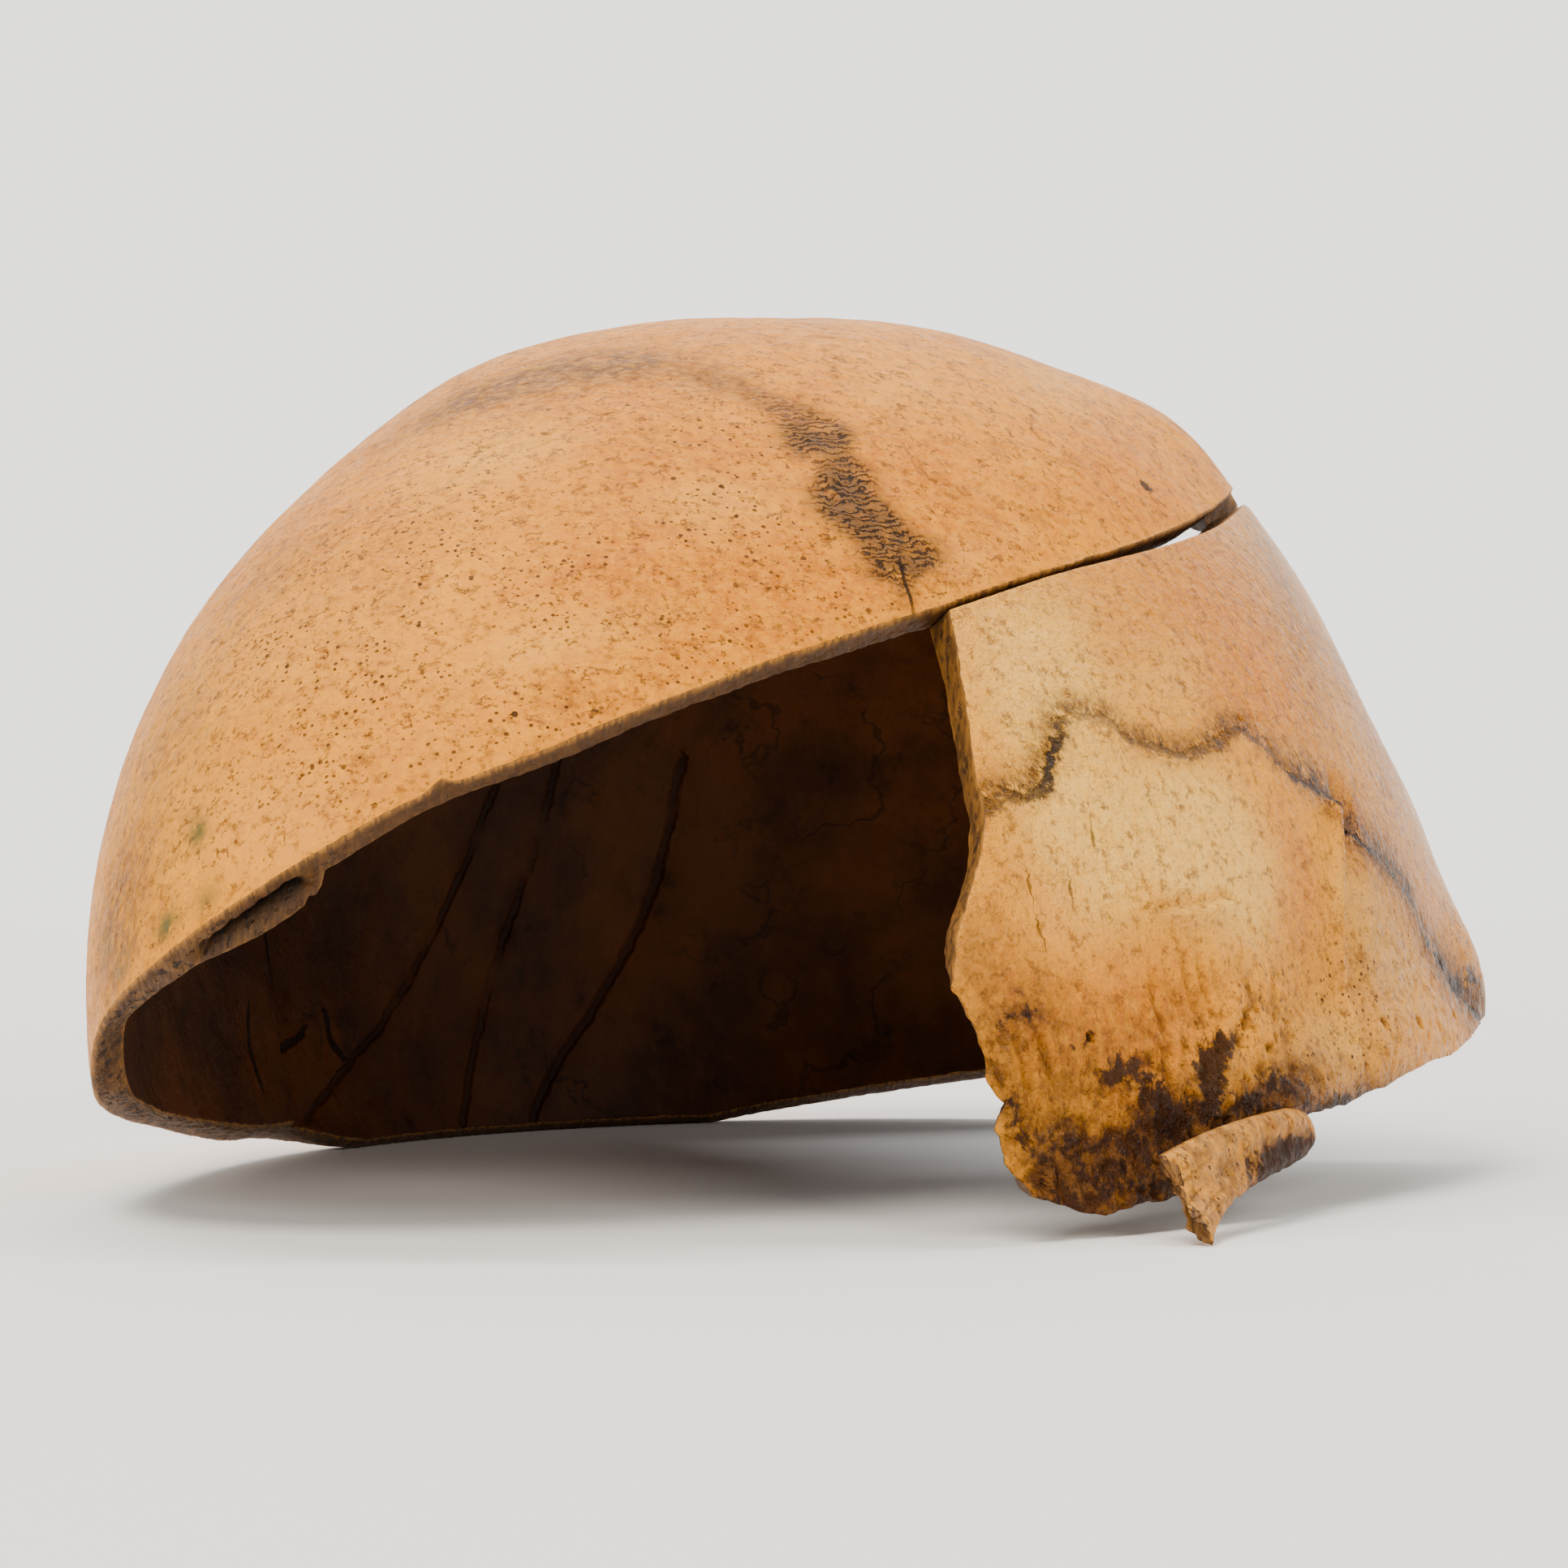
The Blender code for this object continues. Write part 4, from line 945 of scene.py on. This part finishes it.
def piece_places(depth_share):
    """Azimuth, rise and depth of one side of the lower piece's wall."""
    s = np.linspace(0, 1, PIECE_LONG + 1)
    t = np.linspace(0, 1, PIECE_DOWN + 1)
    top_azimuth = PIECE_FRONT[0][0] + (PIECE_BACK[0][0] - PIECE_FRONT[0][0]) * s
    gap = SAW_GAP + (SAW_GAP_BEHIND - SAW_GAP) * smooth(top_azimuth, 68, 104) 
    gap = gap + BACK_CORNER_DROP * smooth(top_azimuth, 118, 127)
    level = saw_level(top_azimuth) - gap - 0.05 * (1 + splintered(s * 8, 2.0))
    top_rise = rise_where(lambda p: p[..., 2] - level, top_azimuth, SIDE_WALL * depth_share)
    top = np.stack([top_azimuth, top_rise], -1)
    front = along([tuple(top[0])] + PIECE_FRONT[1:], t)
    back = along([tuple(top[-1])] + PIECE_BACK[1:], t)
    foot = along(PIECE_FOOT, s)
    ends_t = smooth(t, 0.0, 0.1) * (1 - smooth(t, 0.93, 1.0))
    ends_s = smooth(s, 0.0, 0.06) * (1 - smooth(s, 0.94, 1.0))
    lower = smooth(t, 0.45, 0.7)
    front[:, 0] += ends_t * ((0.20 + 1.0 * lower) * splintered(7 * t, 1.0 + depth_share)
                             + (0.18 + 0.30 * lower) * splintered(19 * t, 3.0 + depth_share)
                             + 1.3 * depth_share * smooth(t, 0.55, 0.8))
    back[:, 0] += ends_t * 0.7 * (1 - 0.8 * smooth(t, 0.6, 0.8)) * splintered(6 * t, 5.0 + depth_share)
    torn = 1 - 0.85 * smooth(s, 0.36, 0.50)
    teeth = 0.7 * splintered(9 * s, 8.0 + depth_share) + 0.3 * splintered(23 * s, 9.0)
    foot[:, 1] += ends_s * (torn * teeth + 1.2 * depth_share)
    places = patch(front, foot, back, top, PIECE_LONG, PIECE_DOWN)
    azimuth, rise = places[..., 0], places[..., 1]
    wall = SIDE_WALL + (SCALE_WALL - SIDE_WALL) * smooth(-rise, -12, 12)
    return azimuth, rise, wall * depth_share


def small_holes(turn, rise):
    """1 in the middle of each small vessel hole."""
    holes = np.zeros(turn.shape)
    for at_azimuth, at_rise, across_mm in PIECE_SMALL_HOLES:
        across = (turn - at_azimuth) * np.cos(np.radians(at_rise))
        away = np.hypot(across, rise - at_rise) * math.radians(1) * PIECE_RADIUS
        holes = np.maximum(holes, 1 - smooth(away, across_mm * 0.25, across_mm * 0.6))
    return holes


def piece_marks(azimuth, rise):
    """What the outer bone's material reads on the lower piece."""
    off, way = line_marks(azimuth, rise, SCALE_SUTURE)
    turn = signed_turn(azimuth)
    behind = smooth(turn, 82, 96)
    low = smooth(-rise, 10, 20)
    return all_spots(azimuth, rise, PIECE_SPOTS) | {
        "porous": np.clip(0.12 + smooth(-rise, 12, 24) + 0.4 * smooth(turn, 100, 112), 0, 1),
        "crack_off": nearest_line(azimuth, rise, NICKS), "hole": small_holes(turn, rise),
        "crack_near": 0.7 * near_line(azimuth, rise, NICKS),
        "scale_across": off + 0.4, "scale_along": way, "scale_off": off,
        "scale_dark": (0.65 + 0.35 * np.maximum(behind, hump(turn, 57, 4))) * (1 - 0.5 * hump(turn, 64, 3)),
        "scale_band": np.exp(-((off - 0.5) / (1.7 + 2.0 * behind)) ** 2) * (0.70 + 0.30 * behind),
        "polish": 1 - low,
    }


def piece_relief(azimuth, rise, marks, points):
    """Millimetres that the lower piece stands proud of the vault, and how much its low places are darkened."""
    turn = signed_turn(azimuth)
    ledge = SCALE_LEDGE * smooth(-marks["scale_off"] + 0.5 * grain(points, 1.8, 11, 3), -0.3, 0.9)
    low = smooth(-rise, 13, 22)
    rough = low * (1 - 0.92 * smooth(turn, 66, 78))
    big = grain(points, 4.5, 12, 3)
    small = grain(points, 1.5, 13, 3)
    pits = smooth(grain(points, 1.2, 15, 2), 0.20, 0.55) * smooth(-rise, 15, 23)
    pits = pits * (1 - 0.7 * smooth(turn, 66, 78))
    lumpy = 0.55 * rough * big + (0.05 + 0.12 * rough) * small
    run = (turn - GRAIN_SLOPE * rise) * 1.1
    fibrous = smooth(-rise, 9, 15) * (1 - smooth(-rise, 24, 28)) * (1 - smooth(turn, 58, 70))
    waves = np.sin(run * 2.6 + 3.5 * grain(points, 7, 14, 3))
    stripes = STRIPE_HIGH * fibrous * smooth(grain(points, 5, 27, 2), -0.3, 0.4) * waves
    scar, _ = line_marks(azimuth, rise, rounded(SCAR, 1))
    lip = LIP_HIGH * hump(scar, -0.25, 0.6) - LIP_DITCH * hump(scar, 0.75, 0.6)
    ridge, _ = line_marks(azimuth, rise, rounded(TEMPLE_RIDGE))
    crest = RIDGE_HIGH * hump(ridge, 0, 1.1) - RIDGE_DITCH * hump(ridge, 3.0, 2.6)
    shelf = SHELF_HIGH * hump(rise, -28.5, 3.2) * smooth(turn, 60, 74) * (1 - smooth(turn, 118, 130))
    hollow = -HOLLOW_DEEP * hump(turn, 80, 7) * hump(rise, -22, 4)
    away = np.hypot((turn - NUB[0]) * 0.9, rise - NUB[1]) * math.radians(1) * PIECE_RADIUS
    nub = NUB_HIGH * hump(away, 0, 0.8)
    dents = -HOLE_DEEP * marks["hole"] - NICK_DEEP * (1 - smooth(np.abs(marks["crack_off"]), 0.1, 0.7))
    relief = ledge + lumpy + stripes + lip + crest + shelf + hollow + nub + dents - PIT_DEEP * pits
    deep = 0.75 * rough * smooth(-big * 0.6 - small * 0.6, 0.05, 0.5) + 0.8 * pits
    low_darkening = deep + 0.5 * fibrous * smooth(-stripes / STRIPE_HIGH, 0.2, 0.9)
    return relief, np.clip(low_darkening, 0, 1)


def build_piece():
    """The piece of side wall: smooth bone above the scale suture, rough and stained bone at its foot, darkened
    there with painted shade.
    """
    azimuth, rise, _ = piece_places(0.0)
    flat = bone_point(azimuth, rise, 0.0)
    marks_out = piece_marks(azimuth, rise)
    relief, marks_out["cavity"] = piece_relief(azimuth, rise, marks_out, flat)
    outer = bone_point(azimuth, rise, -relief)
    in_azimuth, in_rise, depth = piece_places(1.0)
    inner_flat = bone_point(in_azimuth, in_rise, depth)
    inner = bone_point(in_azimuth, in_rise, depth + 0.15 * grain(inner_flat, 6, 16, 3))
    shape = (PIECE_LONG, PIECE_DOWN)
    loop = edge_loop(*shape)
    inward = [(min(max(i, 1), PIECE_LONG - 1), min(max(j, 1), PIECE_DOWN - 1)) for i, j in loop]
    outside = np.array([outer[place] for place in loop])
    inside = np.array([inner[place] for place in loop])
    out_way = outside - np.array([outer[place] for place in inward])
    out_way = out_way / np.maximum(np.linalg.norm(out_way, axis=1), 1e-6)[:, None]
    torn = np.array([0.0 if j == 0 else 1.0 for i, j in loop])
    low = smooth(-np.array([rise[place] for place in loop]), 8, 20)
    shares = (0.04, 0.12, 0.22, 0.34, 0.46, 0.58, 0.70, 0.82, 0.92, 0.97)
    rows = []
    rim_marks = []
    for at in shares:
        line = outside * (1 - at) + inside * at
        belly = math.sin(math.pi * at) ** 0.5
        tear = (0.08 + 0.25 * low) * grain(line, 2.4, 17, 4)
        rows.append(line + out_way * ((0.16 + tear) * belly * torn)[:, None])
        dense = min(math.exp(-at * 4 / 0.6) + math.exp(-(1 - at) * 4 / 0.5), 1)
        middle = float(smooth(at, 0.1, 0.3) * (1 - smooth(at, 0.75, 0.95)))
        rim_marks.append({"dense": np.maximum(dense * (1 - 0.7 * low), 0.35 * (1 - low)),
                          "spongy": np.full(len(loop), 0.7 * middle), "brown": 0.1 * middle + 0.5 * low})
    piece = wall_mesh("temporal_bone", outer, inner, rows, shape, (TEMPLE, INNER, CUT),
                      all_marks(azimuth.shape, marks_out, {}, rim_marks))
    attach(piece, "root")
    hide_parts("temporal_piece")
    return piece


# The hooked stump of the cheek arch, as in the CAD source
STUMP_RIDGE = ((43.6, -39.6, 8.8), (44.0, -46.5, 9.8), (38.2, -58.5, 9.4), (30.6, -70.5, 7.4))
STUMP_FOOT = ((42.8, -42.0, 5.4), (43.3, -49.5, 4.6), (39.0, -61.0, 3.4), (35.2, -74.5, 0.0))
STUMP_THICK_ROOT = 5.0
STUMP_THICK_FRONT = 1.9
STUMP_SECTIONS = 120
STUMP_ROUND = 112
STUMP_END_RINGS = 8


def curve_through(points, share):
    """A round curve through four points, by share of the way."""
    points = np.array(points)
    knots = np.linspace(0, 1, len(points))
    weights = [np.prod([(share - k) / (own - k) for k in knots if k != own], axis=0) for own in knots]
    return sum(np.asarray(w)[..., None] * p for w, p in zip(weights, points))


def stump_skin():
    """Points of the stump's skin by section and place round it, their height share, and its way forward."""
    share = np.linspace(0, 1, STUMP_SECTIONS + 1)
    ridge, foot = curve_through(STUMP_RIDGE, share), curve_through(STUMP_FOOT, share)
    ahead = np.gradient(ridge, axis=0)
    ahead = ahead / np.linalg.norm(ahead, axis=1)[:, None]
    side = np.cross(ahead, ridge - foot)
    side = side / np.linalg.norm(side, axis=1)[:, None]
    thick = STUMP_THICK_ROOT + (STUMP_THICK_FRONT - STUMP_THICK_ROOT) * smooth(share, 0.0, 0.8)
    round_way = np.arange(STUMP_ROUND) / (STUMP_ROUND / 2)
    up = 1 - np.abs(1 - round_way)
    belly = np.copysign(np.maximum(np.sin(np.pi * up), 0) ** 0.42, 1 - round_way)
    dished = 1 - 0.55 * hump(up, 0.45, 0.25) * smooth(share, 0.15, 0.5)[:, None]
    points = (foot[:, None] + (ridge - foot)[:, None] * up[None, :, None]
              + side[:, None] * (thick[:, None] / 2 * belly[None] * dished)[..., None])
    near_front = smooth(share, 0.66, 1.0) ** 1.3
    teeth = 1.5 * splintered(up * 4.5, 21.0) + 0.8 * splintered(up * 11, 22.0)
    broken = np.array([-0.8, -0.55, 0.1])
    points = points + broken * (near_front[:, None] * teeth[None])[..., None]
    rough = 0.30 * grain(points, 3.4, 22, 4) + 0.07 * grain(points, 0.9, 23, 3)
    points = points + side[:, None] * (rough * np.sign(belly)[None] * np.abs(belly)[None])[..., None]
    lower = (1 - smooth(up, 0.0, 0.25)) * smooth(share, 0.05, 0.3)[:, None]
    points = points + np.array([0, 0, 1.0]) * (0.5 * np.abs(grain(points, 1.8, 24, 3)) * lower)[..., None]
    return points, up, share, ahead


def stump_marks(flat, up, share):
    """The stump's marks: painted shade below and behind, and painted light towards the top of its broken front.
    """
    rest = len(flat) - len(up) * len(share)
    all_up = np.concatenate([np.tile(up, len(share)), np.full(rest, 0.5)])
    all_share = np.concatenate([np.repeat(share, len(up)), np.full(rest, 1.0)])
    shaded = (1 - smooth(all_up, 0.30, 0.75)) * (1 - smooth(all_share, 0.45, 0.8))
    marks = {key: np.full(len(flat), MARKS_OFF.get(key, 0.0)) for key in ALL_MARKS}
    for key, value in (("porous", 1.0), ("grey", 0.25), ("spongy", 0.5), ("dense", 0.25)):
        marks[key][:] = value
    marks["stain_and_shade"] = 0.95 * shaded
    marks["foot"] = 0.75 * shaded
    marks["dusty"] = 1.0 - 0.3 * shaded
    # Paler towards the top of the broken front: painted light
    marks["cream_and_painted_light"] = 0.25 * smooth(all_up, 0.3, 0.8) * smooth(all_share, 0.5, 0.9)
    marks["cavity"] = 0.55 * smooth(-grain(flat, 2.2, 26, 3), -0.05, 0.5)
    return marks


def build_stump():
    """The cheek arch's stump: a thin plate hooked forward and down, its front edge broken in teeth."""
    points, up, share, ahead = stump_skin()
    count = STUMP_ROUND
    ends = []
    for at in (0, STUMP_SECTIONS):
        middle = points[at].mean(0)
        for k in range(1, STUMP_END_RINGS):
            inward = points[at] + (middle - points[at]) * (k / STUMP_END_RINGS)
            torn = 0.45 * grain(inward, 1.0, 25, 3) * math.sin(math.pi * k / STUMP_END_RINGS)
            ends.append(inward + (ahead[at] * torn[:, None] if at else 0))
        ends.append(middle[None])
    flat = np.concatenate([points.reshape(-1, 3)] + ends)
    faces = []

    def strip(near, far):
        for j in range(count):
            m = (j + 1) % count
            faces.append((near + j, near + m, far + m, far + j))

    for k in range(STUMP_SECTIONS):
        strip(k * count, (k + 1) * count)
    body_faces = len(faces)
    first = (STUMP_SECTIONS + 1) * count
    for end, start in enumerate((0, STUMP_SECTIONS * count)):
        before = start
        base = first + end * ((STUMP_END_RINGS - 1) * count + 1)
        for k in range(STUMP_END_RINGS - 1):
            here = base + k * count
            if end == 0:
                strip(here, before)
            else:
                strip(before, here)
            before = here
        tip = base + (STUMP_END_RINGS - 1) * count
        for j in range(count):
            m = (j + 1) % count
            faces.append((tip, before + m, before + j) if end == 0 else (before + j, before + m, tip))
    world = flat + np.array([MIDDLE[0], MIDDLE[1], 0])
    world[:, 2] = np.maximum(world[:, 2], 0.02)
    kinds = [0] * body_faces + [1] * (len(faces) - body_faces)
    stump = bone_object("arch_stump_bone", world, faces, (OUTER, CUT), kinds, stump_marks(flat, up, share))
    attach(stump, "root")
    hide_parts("temporal_piece")
    return stump


FLOOR_FORWARD = 2.2
FLOOR_BEHIND = 1.0
FLOOR_HALF_WIDE = 3.5
SWEEP = 0.8
BACKDROP_HIGH = 3.0


def build_stage():
    """A pale seamless floor that turns up into a backdrop, in metres."""
    profile = [(-FLOOR_FORWARD, 0.0)]
    for degrees in range(0, 91, 6):
        turn = math.radians(degrees)
        profile.append((FLOOR_BEHIND + SWEEP * math.sin(turn), SWEEP - SWEEP * math.cos(turn)))
    profile.append((FLOOR_BEHIND + SWEEP, BACKDROP_HIGH))
    points, faces = [], []
    for y, z in profile:
        points += [(-FLOOR_HALF_WIDE, y, z), (FLOOR_HALF_WIDE, y, z)]
    for k in range(len(profile) - 1):
        faces.append((2 * k, 2 * k + 1, 2 * k + 3, 2 * k + 2))
    mesh = bpy.data.meshes.new("seamless_floor")
    mesh.from_pydata(points, [], faces)
    mesh.polygons.foreach_set("use_smooth", np.ones(len(faces), bool))
    material, tree, shader = new_material("matt_white_paper", 0.9)
    shader.inputs["Base Color"].default_value = hex_colour("#F4F3F1")
    shader.inputs["Specular IOR Level"].default_value = 0.1
    mesh.materials.append(material)
    floor = bpy.data.objects.new("seamless_floor", mesh)
    bpy.context.scene.collection.objects.link(floor)


# Name, place, target and size in metres, watts and colour
WARM_WHITE = "#FFF4E6"
WHITE = "#FFFFFF"
LIGHTS = (("key_box", (-0.30, -0.60, 1.15), (0, 0, 0.04), (0.6, 0.5), 15, WARM_WHITE),
          ("front_box", (0.55, -0.95, 0.55), (0.02, 0, 0.04), (0.5, 0.5), 7.5, WARM_WHITE),
          ("small_sheen_box", (-0.45, -0.85, 0.62), (0.02, 0, 0.04), (0.16, 0.16), 1.2, WHITE),
          ("left_fill", (-1.2, -0.5, 0.6), (0, 0, 0.04), (0.7, 0.7), 5.5, WARM_WHITE),
          ("right_fill", (1.2, -0.1, 0.7), (0, 0, 0.04), (0.7, 0.7), 2.5, WHITE),
          ("backdrop_wash", (0, 0.7, 1.9), (0, 1.8, 0.5), (2.5, 0.6), 72, WHITE))
SURROUND_STRENGTH = 0.20


def soft_light(name, place, target, size, watts, colour):
    data = bpy.data.lights.new(name, "AREA")
    data.shape = "RECTANGLE"
    data.size, data.size_y = size
    data.energy = watts
    data.color = hex_colour(colour)[:3]
    lamp = bpy.data.objects.new(name, data)
    lamp.location = place
    lamp.rotation_euler = (Vector(target) - Vector(place)).to_track_quat("-Z", "Y").to_euler()
    bpy.context.scene.collection.objects.link(lamp)


def build_light():
    """Soft studio light: boxes over the front left and low on the right, two fills and a pale surround."""
    world = bpy.data.worlds.new("pale_surround")
    world.use_nodes = True
    background = world.node_tree.nodes["Background"]
    background.inputs["Color"].default_value = (1, 1, 1, 1)
    background.inputs["Strength"].default_value = SURROUND_STRENGTH
    bpy.context.scene.world = world
    for light in LIGHTS:
        soft_light(*light)


# The camera, in millimetres from the middle of the skull and in degrees
CAMERA_OFF = np.array([-1.0, -528.0, 29.9])
LOOKING_DOWN = 0.4088
LENS = 123.4


def build_camera():
    """The photo's view: at eye level, 0.53 m away, with a long lens."""
    data = bpy.data.cameras.new("camera")
    data.sensor_width = 36
    data.lens = LENS
    data.clip_start = 0.02
    camera = bpy.data.objects.new("camera", data)
    camera.location = (MIDDLE + CAMERA_OFF) * MM
    camera.rotation_euler = (math.radians(90 - LOOKING_DOWN), 0, 0)
    bpy.context.scene.collection.objects.link(camera)
    bpy.context.scene.camera = camera


build_cap()
build_piece()
build_stump()
build_stage()
build_light()
build_camera()
